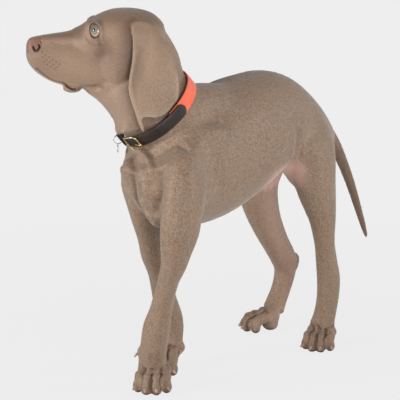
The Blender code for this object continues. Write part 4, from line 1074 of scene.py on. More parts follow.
def marks_of(places):
    here = mirrored(places)
    spread = eye_spread(places)[0]
    ear = on_ear(places)
    dark = np.zeros(len(places))
    # darker along the pressed lines: painted shade in folds and between the toes
    for line, width, fold_shade in DARKENED_LINES:
        near = np.all((places > line.min(0) - 0.02) & (places < line.max(0) + 0.02), axis=1)
        dark[near] = np.maximum(dark[near], fold_shade * np.exp(-((gap_to(places[near], line) / width) ** 2)))
    lids = 0.95 * np.exp(-(((spread - 1.09) / 0.15) ** 2)) * (spread < 3)
    # painted shade in the brow's wrinkles over the eye
    shade_and_tint = 0.70 * around_point(here, (0.022, -0.004, 0.0120), 0.0075)
    # darker at the nose's lower front
    front = 0.40 * around_point(here, (0.004, -0.0960, -0.0290), 0.0070)
    from_flews = ((here[:, 1:] - (-0.078, -0.048)) / (0.022, 0.020)) ** 2
    flews = 0.20 * np.exp(-from_flews.sum(1)) * (here[:, 1] < -0.04)
    # gathered here: the face's painted shade, with the darker flews and the darker front of the nose
    shade_and_tint = np.maximum(shade_and_tint, np.maximum(front, flews))
    # painted shade on the neck and the cheek beside the ear's edges, where the ear shelters them
    sheltered = (here[:, 1] < 0.056) | (here[:, 2] < -0.04)
    shade = 0.55 * (1 - ear) * np.exp(-((ear_gap(places, EAR_LEAF) / 0.0190) ** 2)) * sheltered
    shade_and_tint = np.maximum(shade_and_tint, shade)
    # a darker patch below and behind the eye: partly the coat's own colour, partly painted shade
    from_cheek = ((here[:, 1:] - (0.006, -0.026)) / (0.017, 0.022)) ** 2
    cheek = 0.42 * np.exp(-from_cheek.sum(1)) * (here[:, 0] > 0.025)
    # painted shade: the tops of the skull and the muzzle are darker, as less light falls on them from above
    top = 0.24 * ramp(here[:, 2], -0.002, 0.016) * ramp(here[:, 1], -0.025, -0.005)
    top = np.maximum(top, 0.36 * ramp(here[:, 2], -0.018, -0.008) * (1 - ramp(here[:, 1], -0.025, -0.005)))
    top *= np.linalg.norm(here, axis=1) < 0.125
    shade_and_tint = np.maximum(shade_and_tint, np.maximum(cheek, top * (1 - ear)))
    dark = np.maximum(dark, np.maximum(lids, shade_and_tint))
    dots = np.zeros(len(places))
    for y, z in WHISKER_DOTS:
        away = np.hypot(here[:, 1] - y, here[:, 2] - z)
        dots = np.maximum(dots, 0.75 * np.exp(-((away / 0.0011) ** 2)) * (here[:, 0] > 0.008))
    dark = np.maximum(dark, dots)
    edge = -0.0772 - 1.3 * np.clip(-0.0215 - here[:, 2], 0, None)
    nose = ramp(edge - here[:, 1], -0.0008, 0.0010) * ramp(here[:, 2], -0.0350, -0.0325)
    nose *= np.linalg.norm(here, axis=1) < 0.13
    pads = 1 - ramp(places[:, 2], 0.0035, 0.0060)
    corner = 0.40 * around_point(here, (0.024, -0.0145, -0.004), 0.0065)
    folded = np.abs(places * (1, 0, 0)) + places * (0, 1, 1)
    groin = np.exp(-(((folded - (0.050, 0.132, 0.286)) / (0.022, 0.048, 0.018)) ** 4).sum(1))
    under = (1 - ramp(folded[:, 0], 0.040, 0.055)) * (1 - ramp(places[:, 2], 0.285, 0.305))
    at_loin = (places[:, 1] < 0.26) & (places[:, 2] > 0.24)
    groin = np.maximum(groin, under * ramp(places[:, 1], 0.09, 0.13) * at_loin)
    inner = 1 - ramp(np.abs(places[:, 0]), 0.045, 0.062)
    inner = inner * ramp(places[:, 1], 0.14, 0.17) * (places[:, 1] < 0.32)
    groin = np.maximum(groin, 0.30 * inner * (places[:, 2] < 0.29))
    pink = np.maximum(corner, 0.9 * groin)
    on_tail = ramp(places[:, 1], 0.325, 0.360) * (places[:, 2] > 0.115)
    dark = np.maximum(dark, 0.30 * on_tail)
    # painted highlight: the ears' free edges, and faintly the whole ear, are lighter, as if catching the
    # light
    ear_highlight = 0.9 * np.exp(-((ear_gap(places, EAR_RIM) / 0.0030) ** 2)) + 0.04 * ear
    return {"dark": np.maximum(dark, 0.8 * pads), "pink": pink, "nose": nose, "ear_highlight": np.clip(ear_highlight, 0, 1)}


marks = marks_of(points_of(skin.data))
# the skin's tone is even, lifted by the ears' painted highlight
marks["tone_and_highlight"] = 0.35 + 0.65 * marks["ear_highlight"]
for name, values in marks.items():
    skin.data.attributes.new(name, "FLOAT", "POINT").data.foreach_set("value", values.astype(np.float32))
print({name: round(float(values.sum()), 1) for name, values in marks.items()})

# %% [markdown]
# ## The lie of the coat
# Hair points from the nose back over the head, down the neck, back along the trunk and down the
# legs. Each region has one main direction, and it is laid flat on the skin at every root.

# %% Directions of the hair
def past_throat(places):
    """How far towards the head a place lies from a cut through the throat."""
    return (places - np.array((-0.056, -0.085, 0.45))) @ np.array((-0.50, -0.44, 0.74))


def lie_of_coat(places, normals):
    turn = np.array(HEAD_FRAME.to_3x3())
    here = mirrored(places)
    on_ear = ramp(here[:, 0], 0.0395, 0.0425) * ramp(here[:, 1], 0.036, 0.046)
    head_way = np.tile(np.array((0.0, 1.0, -0.25)), (len(places), 1))
    head_way = head_way * (1 - on_ear)[:, None] + on_ear[:, None] * np.array((0.0, 0.25, -1.0))
    head_way = head_way @ turn.T
    axis = np.array(collar_axes()[2])
    head = ramp(past_throat(places), -0.015, 0.02)[:, None]
    near_neck = ramp((places - np.array(COLLAR_CENTRE)) @ axis, -0.05, 0.01)[:, None]
    trunk_way = np.tile(np.array((0.0, 0.92, -0.38)), (len(places), 1))
    leg_way = np.tile(np.array((0.0, 0.22, -0.97)), (len(places), 1))
    paw_way = np.tile(np.array((-0.15, -0.75, -0.65)), (len(places), 1))
    tail_way = np.tile(np.array((0.0, 0.40, -0.90)), (len(places), 1))
    low = 1 - ramp(places[:, 2], 0.20, 0.32)[:, None]
    low = np.maximum(low, (ramp(np.abs(places[:, 0]), 0.045, 0.070) * 0.55)[:, None])
    way = trunk_way * (1 - low) + leg_way * low
    way = way * (1 - near_neck) - axis * near_neck
    foot = 1 - ramp(places[:, 2], 0.030, 0.055)[:, None]
    way = way * (1 - foot) + paw_way * foot
    on_tail = ramp(places[:, 1], 0.325, 0.345)[:, None] * (places[:, 2] > 0.115)[:, None]
    way = way * (1 - on_tail) + tail_way * on_tail
    way = way * (1 - head) + head_way * head
    way -= normals * (way * normals).sum(1)[:, None]
    size = np.linalg.norm(way, axis=1)[:, None]
    down = np.array((0.0, 0.1, -1.0)) - normals * (normals @ np.array((0.0, 0.1, -1.0)))[:, None]
    way = np.where(size > 0.12, way, down)
    return way / np.maximum(np.linalg.norm(way, axis=1)[:, None], 1e-6)


# %% [markdown]
# ## An unwrap for the roots
# Each tuft's map puts it at the place of its root on an unwrap of a light copy of the skin: the copy is
# unwrapped, and each root finds its nearest face there.

# %% Unwrap a light copy of the skin
def unwrapped_copy(obj, triangles):
    made = new_object("unwrap", obj.data.copy())
    thin = made.modifiers.new("thin", "DECIMATE")
    thin.ratio = triangles / len(obj.data.loop_triangles)
    apply_modifiers(made)
    bpy.ops.object.select_all(action="DESELECT")
    bpy.context.view_layer.objects.active = made
    made.select_set(True)
    bpy.ops.object.mode_set(mode="EDIT")
    bpy.ops.mesh.select_all(action="SELECT")
    bpy.ops.uv.smart_project(angle_limit=math.radians(60), island_margin=0.004)
    bpy.ops.object.mode_set(mode="OBJECT")
    return made


def root_uvs(chart, roots):
    """Where each root lies on the chart."""
    mesh = chart.data
    mesh.calc_loop_triangles()
    count = len(mesh.loop_triangles)
    corners, loops = np.empty(count * 3, np.int32), np.empty(count * 3, np.int32)
    mesh.loop_triangles.foreach_get("vertices", corners)
    mesh.loop_triangles.foreach_get("loops", loops)
    corners, loops = corners.reshape(-1, 3), loops.reshape(-1, 3)
    places = points_of(mesh)
    uv = np.empty(len(mesh.loops) * 2)
    mesh.uv_layers.active.data.foreach_get("uv", uv)
    uv = uv.reshape(-1, 2)
    tree = BVHTree.FromPolygons([tuple(p) for p in places], [tuple(c) for c in corners.tolist()])
    face = np.empty(len(roots), np.int64)
    spot = np.empty((len(roots), 3))
    for k, root in enumerate(roots):
        place, _, index, _ = tree.find_nearest(root)
        face[k], spot[k] = index, place
    a, b, c = (places[corners[face, j]] for j in range(3))
    ab, ac, ap = b - a, c - a, spot - a
    d00, d01, d11 = (ab * ab).sum(1), (ab * ac).sum(1), (ac * ac).sum(1)
    d20, d21 = (ap * ab).sum(1), (ap * ac).sum(1)
    low = np.maximum(d00 * d11 - d01 * d01, 1e-20)
    v, w = (d11 * d20 - d01 * d21) / low, (d00 * d21 - d01 * d20) / low
    weights = np.clip(np.stack([1 - v - w, v, w], axis=1), 0, 1)
    return sum(weights[:, j, None] * uv[loops[face, j]] for j in range(3))


chart = unwrapped_copy(skin, 9000)
print("chart", len(chart.data.polygons), "faces")

# %% [markdown]
# ## Tufts
# Short hair could be left to a bump map, but then the outline of the dog would be cut glass. Here
# each tuft is a closed sliver of four faces with its root in the skin. Arrays make them all at once,
# much faster than one object each, and their normals follow the skin, so that the coat stays sleek.

# %% Roots and slivers
def skin_roots(obj, count):
    """Roots spread over the skin, more of them where the hair is short."""
    mesh = obj.data
    faces = np.empty(len(mesh.loop_triangles) * 3, np.int32)
    mesh.loop_triangles.foreach_get("vertices", faces)
    faces = faces.reshape(-1, 3)
    places, normals = points_of(mesh), normals_of(mesh)
    a, b, c = (places[faces[:, j]] for j in range(3))
    area = np.linalg.norm(np.cross(b - a, c - a), axis=1) / 2
    marks = marks_of(places)
    bare = np.maximum(marks["nose"], ramp(marks["dark"], 0.60, 0.80))
    bare = np.maximum(bare, (eye_spread(places)[0] < 1.35).astype(float))
    bare = np.maximum(bare, (places[:, 2] < 0.004).astype(float))
    middle = (a + b + c) / 3
    away = middle - np.array(COLLAR_CENTRE)
    height = np.abs(away @ np.array(collar_axes()[2]))
    under_collar = (height < 0.0112) & (np.linalg.norm(away, axis=1) < 0.075)
    weight = area / hair_length(middle) ** 1.55 * (1 - bare[faces].max(1)) * ~under_collar
    steps = np.cumsum(weight)
    chosen = np.searchsorted(steps, CHANCE.random(count) * steps[-1])
    one, two = CHANCE.random(count), CHANCE.random(count)
    flip = one + two > 1
    one[flip], two[flip] = 1 - one[flip], 1 - two[flip]
    weights = np.stack([1 - one - two, one, two], axis=1)
    picked = faces[chosen]
    roots = sum(weights[:, j, None] * places[picked[:, j]] for j in range(3))
    ways = sum(weights[:, j, None] * normals[picked[:, j]] for j in range(3))
    ways /= np.maximum(np.linalg.norm(ways, axis=1)[:, None], 1e-6)
    held = {}
    for name, values in marks.items():
        held[name] = sum(weights[:, j] * values[picked[:, j]] for j in range(3))
    return roots, ways, held


def sliver_mesh(name, roots, ways, held, uvs):
    """One closed four-faced sliver for each root."""
    count = len(roots)
    lie = lie_of_coat(roots, ways)
    spin = CHANCE.normal(0, 0.22, count)
    side = np.cross(lie, ways)
    lie = lie * np.cos(spin)[:, None] + side * np.sin(spin)[:, None]
    side = np.cross(lie, ways)
    length = (hair_length(roots) * CHANCE.uniform(0.75, 1.25, count))[:, None]
    wide = 0.00010 + length * CHANCE.uniform(0.040, 0.060, count)[:, None]
    rise = CHANCE.uniform(0.02, 0.11, count)[:, None]
    sunk = ways * 0.00015
    corners = np.stack(
        [
            roots - side * wide - sunk,
            roots + side * wide - sunk,
            roots + lie * length * 0.4 + ways * length * 0.07,
            roots + lie * length + ways * length * rise,
        ],
        axis=1,
    )
    corners[..., 2] = np.maximum(corners[..., 2], TUFT_LEVEL)
    faces = np.array(((0, 2, 3), (1, 3, 2), (0, 1, 2), (0, 3, 1)))
    faces = (faces[None] + 4 * np.arange(count)[:, None, None]).reshape(-1, 3)
    mesh = bpy.data.meshes.new(name)
    mesh.vertices.add(4 * count)
    mesh.vertices.foreach_set("co", corners.ravel())
    mesh.loops.add(3 * len(faces))
    mesh.loops.foreach_set("vertex_index", faces.ravel().astype(np.int32))
    mesh.polygons.add(len(faces))
    mesh.polygons.foreach_set("loop_start", np.arange(0, 3 * len(faces), 3, dtype=np.int32))
    mesh.update(calc_edges=True)
    layer = mesh.uv_layers.new(name="OFBake")
    patch = np.array(((-0.0015, -0.0015), (0.0015, -0.0015), (0.0, 0.0), (0.0, 0.0015)))
    places = (uvs[:, None, :] + patch[None]).reshape(-1, 2)
    layer.data.foreach_set("uv", places[faces.ravel()].ravel())
    # each tuft's tone is random, lifted to full by the ears' painted highlight
    tone_and_highlight = np.repeat(CHANCE.random(count) * (1 - held["ear_highlight"]) + held["ear_highlight"], 4).astype(np.float32)
    mesh.attributes.new("tone_and_highlight", "FLOAT", "POINT").data.foreach_set("value", tone_and_highlight)
    for label, values in held.items():
        spread = np.repeat(values, 4).astype(np.float32)
        mesh.attributes.new(label, "FLOAT", "POINT").data.foreach_set("value", spread)
    round_ways = np.stack([ways - 0.45 * side, ways + 0.45 * side, ways + 0.05 * lie, ways + 0.15 * lie],
        axis=1)
    round_ways = round_ways.reshape(-1, 3)
    round_ways /= np.linalg.norm(round_ways, axis=1)[:, None]
    mesh.shade_smooth()
    mesh.normals_split_custom_set_from_vertices(round_ways)
    return mesh


TUFTS = 270000
TUFTS_PER_PIECE = 49000  # keeps each piece under 200,000 triangles
roots, ways, held = skin_roots(skin, TUFTS)
uvs = root_uvs(chart, roots)
bpy.data.objects.remove(chart)
on_head_part = past_throat(roots) > 0
on_legs = (roots[:, 2] < 0.235) & ~on_head_part
parts = {"coat_head": on_head_part, "coat_legs": on_legs, "coat_trunk": ~on_head_part & ~on_legs}
coat = []
for name, some in parts.items():
    shares = np.array_split(np.flatnonzero(some), 1 + int(some.sum() // TUFTS_PER_PIECE))
    for number, rows in enumerate(shares):
        label = name if number == 0 else f"{name}_{number + 1}"
        mesh = sliver_mesh(label, roots[rows], ways[rows], {k: v[rows] for k, v in held.items()}, uvs[rows])
        coat.append(new_object(label, mesh))
        print(label, len(rows), "tufts")

# %% [markdown]
# ## Materials
# Skin and coat each have a material, but both take their colour from one node group, so their marks
# agree. The group mixes undercoat, hair tips, dark marks with their painted shade, pink skin and nose
# leather by the marks, and lightens the ears' rims with a painted highlight.
# Leather, metal and thread share a second group, which gives them wear.

# %% Node helpers
def linear(red, green, blue):
    """A colour as seen, from 0 to 255, as a linear colour."""
    made = []
    for value in (red, green, blue):
        v = value / 255
        made.append(v / 12.92 if v <= 0.04045 else ((v + 0.055) / 1.055) ** 2.4)
    return (*made, 1.0)


class Tree:
    """A short way to add and join shader nodes."""

    def __init__(self, tree):
        self.tree = tree

    def add(self, kind, **settings):
        node = self.tree.nodes.new(kind)
        for key, value in settings.items():
            setattr(node, key, value)
        return node

    def join(self, source, target):
        self.tree.links.new(source, target)

    def feed(self, socket, value):
        if isinstance(value, bpy.types.NodeSocket):
            self.join(value, socket)
        else:
            socket.default_value = value

    def mix(self, factor, a, b):
        node = self.add("ShaderNodeMix", data_type="RGBA", clamp_factor=True)
        self.feed(node.inputs[0], factor)
        self.feed(node.inputs[6], a)
        self.feed(node.inputs[7], b)
        return node.outputs[2]

    def math(self, operation, a, b=0.0, clamp=False):
        node = self.add("ShaderNodeMath", operation=operation, use_clamp=clamp)
        self.feed(node.inputs[0], a)
        self.feed(node.inputs[1], b)
        return node.outputs[0]

    def noise(self, vector, scale, detail=3.0, rough=0.55):
        node = self.add("ShaderNodeTexNoise")
        self.join(vector, node.inputs["Vector"])
        node.inputs["Scale"].default_value = scale
        node.inputs["Detail"].default_value = detail
        node.inputs["Roughness"].default_value = rough
        return node.outputs["Fac"]

    def remap(self, value, low, high, to_low=0.0, to_high=1.0):
        node = self.add("ShaderNodeMapRange", clamp=True)
        self.feed(node.inputs["Value"], value)
        bounds = {"From Min": low, "From Max": high, "To Min": to_low, "To Max": to_high}
        for name, amount in bounds.items():
            node.inputs[name].default_value = amount
        return node.outputs["Result"]

    def relief(self, shader, height, depth, strength):
        """A bump from a height, given to the shader's normal."""
        node = self.add("ShaderNodeBump")
        node.inputs["Distance"].default_value = depth
        node.inputs["Strength"].default_value = strength
        self.join(height, node.inputs["Height"])
        self.join(node.outputs["Normal"], shader.inputs["Normal"])

    def attribute(self, name):
        return self.add("ShaderNodeAttribute", attribute_name=name).outputs["Fac"]


def shader_group(name, inputs, outputs):
    group = bpy.data.node_groups.new(name, "ShaderNodeTree")
    for label, kind in inputs:
        group.interface.new_socket(label, in_out="INPUT", socket_type=kind)
    for label, kind in outputs:
        group.interface.new_socket(label, in_out="OUTPUT", socket_type=kind)
    tree = Tree(group)
    return tree, tree.add("NodeGroupInput"), tree.add("NodeGroupOutput")


def new_material(name, **constants):
    made = bpy.data.materials.new(name)
    made.use_nodes = True
    shader = made.node_tree.nodes["Principled BSDF"]
    for label, value in constants.items():
        shader.inputs[label.replace("_", " ")].default_value = value
    return made, Tree(made.node_tree), shader


def place_group(tree, group, **values):
    node = tree.add("ShaderNodeGroup", node_tree=group.tree)
    for label, value in values.items():
        tree.feed(node.inputs[label.replace("_", " ")], value)
    return node


# %% Hair colour group
hair, taken, given = shader_group(
    "weimaraner hair colour",
    (("Position", "NodeSocketVector"), ("Tone", "NodeSocketFloat"), ("Dark", "NodeSocketFloat"))
    + (("Pink", "NodeSocketFloat"), ("Nose", "NodeSocketFloat")),
    (("Color", "NodeSocketColor"), ("Roughness", "NodeSocketFloat"), ("Grain", "NodeSocketFloat")),
)
TAUPE = linear(152, 126, 104)
UNDERCOAT = linear(108, 84, 66)
# silver hair tips; the same colour paints the highlight on the ears' rims
SILVER_TIP_AND_HIGHLIGHT = linear(182, 161, 141)
PINK_SKIN = linear(206, 166, 150)
NOSE_LEATHER = linear(142, 106, 88)
BROWN_SHADE_AND_MARKS = linear(96, 68, 54)
RIM_AND_DEEP_SHADE = linear(50, 34, 30)
place = taken.outputs["Position"]
clouds = hair.remap(hair.noise(place, 9.0, 2.0), 0.35, 0.65)
speckle = hair.remap(hair.noise(place, 330.0, 3.0, 0.75), 0.42, 0.60)
base = hair.mix(hair.math("MULTIPLY", clouds, 0.20), TAUPE, UNDERCOAT)
silver = hair.remap(hair.noise(place, 450.0, 2.0, 0.6), 0.52, 0.68)
from_head = hair.add("ShaderNodeVectorMath", operation="DISTANCE")
hair.join(place, from_head.inputs[0])
from_head.inputs[1].default_value = HEAD_ORIGIN + TO_FRAME + Vector((0.0, 0.0, -0.03))
coarse = hair.remap(from_head.outputs["Value"], 0.10, 0.17, 0.30, 1.0)  # the head's coat is the finest
base = hair.mix(hair.math("MULTIPLY", hair.math("MULTIPLY", speckle, coarse), 0.56), base, UNDERCOAT)
base = hair.mix(hair.math("MULTIPLY", hair.math("MULTIPLY", silver, coarse), 0.42), base, SILVER_TIP_AND_HIGHLIGHT)
# tone: random per tuft, and the ears' painted highlight lifts it towards the silver
base = hair.mix(hair.remap(taken.outputs["Tone"], 0.35, 1.0, 0.0, 0.55), base, SILVER_TIP_AND_HIGHLIGHT)
base = hair.mix(hair.remap(taken.outputs["Tone"], 0.0, 0.30, 0.45, 0.0), base, UNDERCOAT)
base = hair.mix(taken.outputs["Pink"], base, PINK_SKIN)
leather = hair.mix(hair.remap(hair.noise(place, 260.0, 2.0), 0.35, 0.7), NOSE_LEATHER, linear(116, 82, 70))
base = hair.mix(taken.outputs["Nose"], base, leather)
# the dark marks: the lids, whisker dots, flews, pads and tail are their own colour; the folds, mouth,
# nostrils, brows, tops of the head, the neck under the ear and part of the cheeks are painted shade
base = hair.mix(hair.remap(taken.outputs["Dark"], 0.0, 0.60), base, BROWN_SHADE_AND_MARKS)
base = hair.mix(hair.remap(taken.outputs["Dark"], 0.45, 0.90), base, RIM_AND_DEEP_SHADE)
hair.join(base, given.inputs["Color"])
gloss = hair.remap(taken.outputs["Nose"], 0.0, 1.0, 0.52, 0.36)
hair.join(hair.math("ADD", gloss, hair.remap(speckle, 0.0, 1.0, -0.06, 0.08)), given.inputs["Roughness"])
pebbles = hair.add("ShaderNodeTexVoronoi", feature="DISTANCE_TO_EDGE")
hair.join(place, pebbles.inputs["Vector"])
pebbles.inputs["Scale"].default_value = 620.0
fur_grain = hair.noise(place, 900.0, 2.0, 0.6)
grain = hair.math("ADD", fur_grain, hair.math("MULTIPLY", pebbles.outputs["Distance"], taken.outputs["Nose"]))
hair.join(grain, given.inputs["Grain"])
print("hair group", len(hair.tree.nodes), "nodes")


# %% The coat's material
def coat_material(name, bump_depth):
    made, tree, shader = new_material(name)
    shader.inputs["Sheen Weight"].default_value = 0.40
    shader.inputs["Sheen Roughness"].default_value = 0.45
    shader.inputs["Sheen Tint"].default_value = (0.93, 0.90, 0.88, 1.0)
    shader.inputs["Specular IOR Level"].default_value = 0.35
    where = tree.add("ShaderNodeTexCoord").outputs["Object"]
    look = place_group(
        tree,
        hair,
        Position=where,
        Tone=tree.attribute("tone_and_highlight"),
        Dark=tree.attribute("dark"),
        Pink=tree.attribute("pink"),
        Nose=tree.attribute("nose"),
    )
    tree.join(look.outputs["Color"], shader.inputs["Base Color"])
    tree.join(look.outputs["Roughness"], shader.inputs["Roughness"])
    if bump_depth:
        tree.relief(shader, look.outputs["Grain"], bump_depth, 0.5)
    return made


skin_look = coat_material("weimaraner_skin", 0.0006)
tuft_look = coat_material("weimaraner_tufts", 0.0)
skin.data.materials.clear()
skin.data.materials.append(skin_look)
for piece in coat:
    piece.data.materials.append(tuft_look)
FLESH = ("head", "neck", "trunk", "tail", "nose", "ear_left", "ear_right")
LIMBS = ("shoulder", "forearm", "forepaw", "thigh", "shank", "hindpaw")
FLESH += tuple(f"{limb}_{side}" for limb in LIMBS for side in ("left", "right"))
settle(skin, *FLESH, slot="coat")
for piece in coat:
    piece.data.transform(Matrix.Translation(TO_FRAME))
    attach(piece, "root")
print("one skin for", len(FLESH), "nodes")

# %% [markdown]
# ## Eyes
# A Weimaraner pup has pale grey-green eyes. Each eye is a ball whose colours are rings round the way
# it looks: pupil, iris with fine rays, a dark edge, and white beyond. Rings in the material stay
# round however the ball is cut, and a clear coat gives the wet highlight.

# %% Eyes
def eye_ball(name, centre, look, rings=40):
    """A ball with its pole at the pupil, and the cornea's slight swell over it."""
    work = bmesh.new()
    bmesh.ops.create_uvsphere(work, u_segments=2 * rings, v_segments=rings, radius=EYE_RADIUS)
    for vert in work.verts:
        share = vert.co.normalized().z
        if share > 0.80:
            vert.co *= 1 + 0.05 * ((share - 0.80) / 0.20) ** 2
    turn = look.to_track_quat("Z", "Y").to_matrix().to_4x4()
    work.transform(Matrix.Translation(centre) @ turn)
    return new_object(name, mesh_from(work, name))


def eye_material(name, centre, look):
    made, tree, shader = new_material(name, Roughness=0.25)
    shader.inputs["Coat Weight"].default_value = 1.0
    shader.inputs["Coat Roughness"].default_value = 0.02
    where = tree.add("ShaderNodeTexCoord").outputs["Object"]
    away = tree.add("ShaderNodeVectorMath", operation="SUBTRACT")
    tree.join(where, away.inputs[0])
    away.inputs[1].default_value = centre
    unit = tree.add("ShaderNodeVectorMath", operation="NORMALIZE")
    tree.join(away.outputs[0], unit.inputs[0])
    facing = tree.add("ShaderNodeVectorMath", operation="DOT_PRODUCT")
    tree.join(unit.outputs[0], facing.inputs[0])
    facing.inputs[1].default_value = look
    angle = tree.math("ARCCOSINE", facing.outputs["Value"])
    rays = tree.noise(unit.outputs[0], 26.0, 4.0, 0.7)
    iris = tree.mix(tree.remap(rays, 0.35, 0.68), linear(92, 102, 86), linear(138, 146, 124))
    iris = tree.mix(tree.remap(angle, 0.26, 0.40), linear(140, 128, 96), iris)
    iris = tree.mix(tree.remap(angle, 0.53, 0.62), iris, linear(62, 56, 50))
    veins = tree.remap(tree.noise(unit.outputs[0], 9.0), 0.3, 0.7)
    white = tree.mix(veins, linear(194, 172, 162), linear(166, 132, 122))
    colour = tree.mix(tree.remap(angle, 0.60, 0.66), iris, white)
    colour = tree.mix(tree.remap(angle, 0.25, 0.29), (0.004, 0.004, 0.005, 1.0), colour)
    tree.join(colour, shader.inputs["Base Color"])
    return made


GAZE = Vector((0.80, -0.54, 0.24)).normalized()
for side, mirror in (("left", 1), ("right", -1)):
    centre = HEAD_FRAME @ Vector((EYE_PLACE.x * mirror, EYE_PLACE.y, EYE_PLACE.z))
    look = (HEAD_FRAME.to_3x3() @ Vector((GAZE.x * mirror, GAZE.y, GAZE.z))).normalized()
    eye = eye_ball("eyeball_" + side, centre, look)
    eye.data.materials.append(eye_material("eye_" + side + "_look", centre + TO_FRAME, look))
    settle(eye, "eye_" + side, slot="iris")

# %% [markdown]
# ## Claws
# Claws are blunt curved cones of horn. The real ones have a pale edge; these are streaked in two
# browns. They are lofted along a bent line from inside each toe, so that they seem to grow out of the fur.

# %% Claws
CLAW_SIDES = 12
# the share of the way to the tip, and the radius there
CLAW = ((0.0, 0.0033), (0.3, 0.0034), (0.6, 0.0031), (0.82, 0.0025), (0.94, 0.0017), (1.0, 0.0008))
DEWCLAW = ((0.0, 0.0022), (0.3, 0.0021), (0.6, 0.0017), (0.85, 0.0011), (1.0, 0.0005))


def claw_rings(paw, across, forward, height=0.0108, droop=0.0036, length=0.0068):
    splay = 0.28 * abs(across) / 0.0205
    rings = []
    for k, radius in CLAW:
        centre = Vector((across * (1 + splay * k), -forward - 0.0045 - length * k, height - droop * k * k))
        ring = []
        for i in range(CLAW_SIDES):
            angle = 2 * math.pi * i / CLAW_SIDES
            out = Vector((math.cos(angle) * 0.85, 0, math.sin(angle)))
            ring.append(paw.frame @ (centre + out * radius))
        rings.append(ring)
    return rings


def dewclaw_rings(place, way):
    rings = []
    for k, radius in DEWCLAW:
        centre = Vector(place) + Vector((way * (0.003 + 0.003 * k), -0.004 - 0.004 * k, 0.0))
        centre.z -= 0.002 + 0.0060 * k
        ring = []
        for i in range(CLAW_SIDES):
            angle = 2 * math.pi * i / CLAW_SIDES
            ring.append(centre + Vector((math.cos(angle), math.sin(angle), 0)) * radius)
        rings.append(ring)
    return rings


horn = bmesh.new()
for paw in PAWS:
    for across, forward in TOES:
        loft(horn, claw_rings(paw, across, forward))
    if paw.dewclaw:
        loft(horn, dewclaw_rings(*paw.dewclaw))
bmesh.ops.recalc_face_normals(horn, faces=horn.faces)
claws = new_object("claws", mesh_from(horn, "claws"))
horn_look, tree, shader = new_material("claw_horn", Roughness=0.34)
where = tree.add("ShaderNodeTexCoord").outputs["Object"]
streaks = tree.remap(tree.noise(where, 240.0, 3.0), 0.35, 0.70)
tree.join(tree.mix(streaks, linear(176, 142, 124), linear(122, 92, 78)), shader.inputs["Base Color"])
finish_piece(claws, horn_look, slot="coat")
print("claws", len(claws.data.polygons), "faces")

# %% [markdown]
# ## The collar's loop
# The collar is a strap that goes once round the neck. It is an oval, and every piece of it is placed
# by an angle from the nape, a level across the strap and a distance out from its inside.

# %% The loop
WEBBING_WIDTH = 0.0200
WEBBING_THICKNESS = 0.0020
STRAP_WIDTH = 0.0185
STRAP_THICKNESS = 0.0028
LIFT = WEBBING_THICKNESS + GAP
OUTSIDE = LIFT + STRAP_THICKNESS + GAP


class Loop:
    """The collar's path round the neck: angle 0 is the nape, 90 the left, 180 the throat."""

    def __init__(self):
        self.nape, self.left, self.axis = collar_axes()

    def way(self, angle):
        return self.nape * math.cos(angle) + self.left * math.sin(angle)

    def point(self, angle, level, out):
        """A point at an angle, across the band from -0.5 to 0.5, and out from the inside."""
        centre = COLLAR_CENTRE + self.axis * (level * WEBBING_WIDTH)
        return centre + self.way(angle) * (collar_radius(angle) + out)


LOOP = Loop()


def grid_mesh(name, rows, around):
    """A tube of rows with a UV map in metres: u along it, and v round its section."""
    count = len(rows[0])
    verts = [tuple(p) for row in rows for p in row]
    faces, charts = [], []
    run = [0.0]
    for one, two in zip(rows, rows[1:]):
        run.append(run[-1] + (sum(two, Vector()) - sum(one, Vector())).length / count)
    for i in range(len(rows) - 1):
        for j in range(count):
            k = (j + 1) % count
            faces.append((i * count + j, i * count + k, (i + 1) * count + k, (i + 1) * count + j))
            v0, v1 = around[j], around[j + 1]
            charts.append(((run[i], v0), (run[i], v1), (run[i + 1], v1), (run[i + 1], v0)))
    for row, end in ((0, False), (len(rows) - 1, True)):
        cap = [row * count + j for j in range(count)]
        chart = [(run[row], around[j]) for j in range(count)]
        faces.append(tuple(cap if end else reversed(cap)))
        charts.append(tuple(chart if end else reversed(chart)))
    mesh = bpy.data.meshes.new(name)
    mesh.from_pydata(verts, [], faces)
    layer = mesh.uv_layers.new(name="strap_map")
    for face, chart in zip(mesh.polygons, charts):
        for loop_index, spot in zip(face.loop_indices, chart):
            layer.data[loop_index].uv = spot
    work = bmesh.new()
    work.from_mesh(mesh)
    bmesh.ops.recalc_face_normals(work, faces=work.faces)
    work.to_mesh(mesh)
    work.free()
    return mesh


def strap(name, start, end, steps, width, inner, thickness, rounded=0.0, crown=0.0):
    """A strap with rounded edges between two angles; rounded is the length of its round ends."""
    level = 0.5 * width / WEBBING_WIDTH
    rows = []
    length = abs(math.radians(end - start)) * 0.058
    outline = [(-1, 0.22), (-0.985, 0.06), (-0.95, 0.0), (-0.5, 0.0), (0, 0.0), (0.5, 0.0), (0.95, 0.0),
        (0.985, 0.06), (1, 0.22)]
    outline += [(1, 0.78), (0.985, 0.94), (0.95, 1.0), (0.5, 1.0), (0, 1.0), (-0.5, 1.0), (-0.95, 1.0),
        (-0.985, 0.94), (-1, 0.78)]
    for k in range(steps + 1):
        share = k / steps
        angle = math.radians(start + (end - start) * share)
        from_end = min(share, 1 - share) * length
        narrow = 1.0
        if rounded and from_end < rounded:
            narrow = math.sqrt(max(1 - (1 - from_end / rounded) ** 2, 0.02))
        row = []
        for across, out in outline:
            swell = crown * (1 - across**2) if out > 0.5 else 0.0
            row.append(LOOP.point(angle, across * level * narrow, inner + thickness * out + swell))
        rows.append(row)
    around = [0.0]
    for (a0, o0), (a1, o1) in zip(outline, outline[1:] + outline[:1]):
        around.append(around[-1] + math.hypot((a1 - a0) * width / 2, (o1 - o0) * thickness))
    return new_object(name, grid_mesh(name, rows, around))


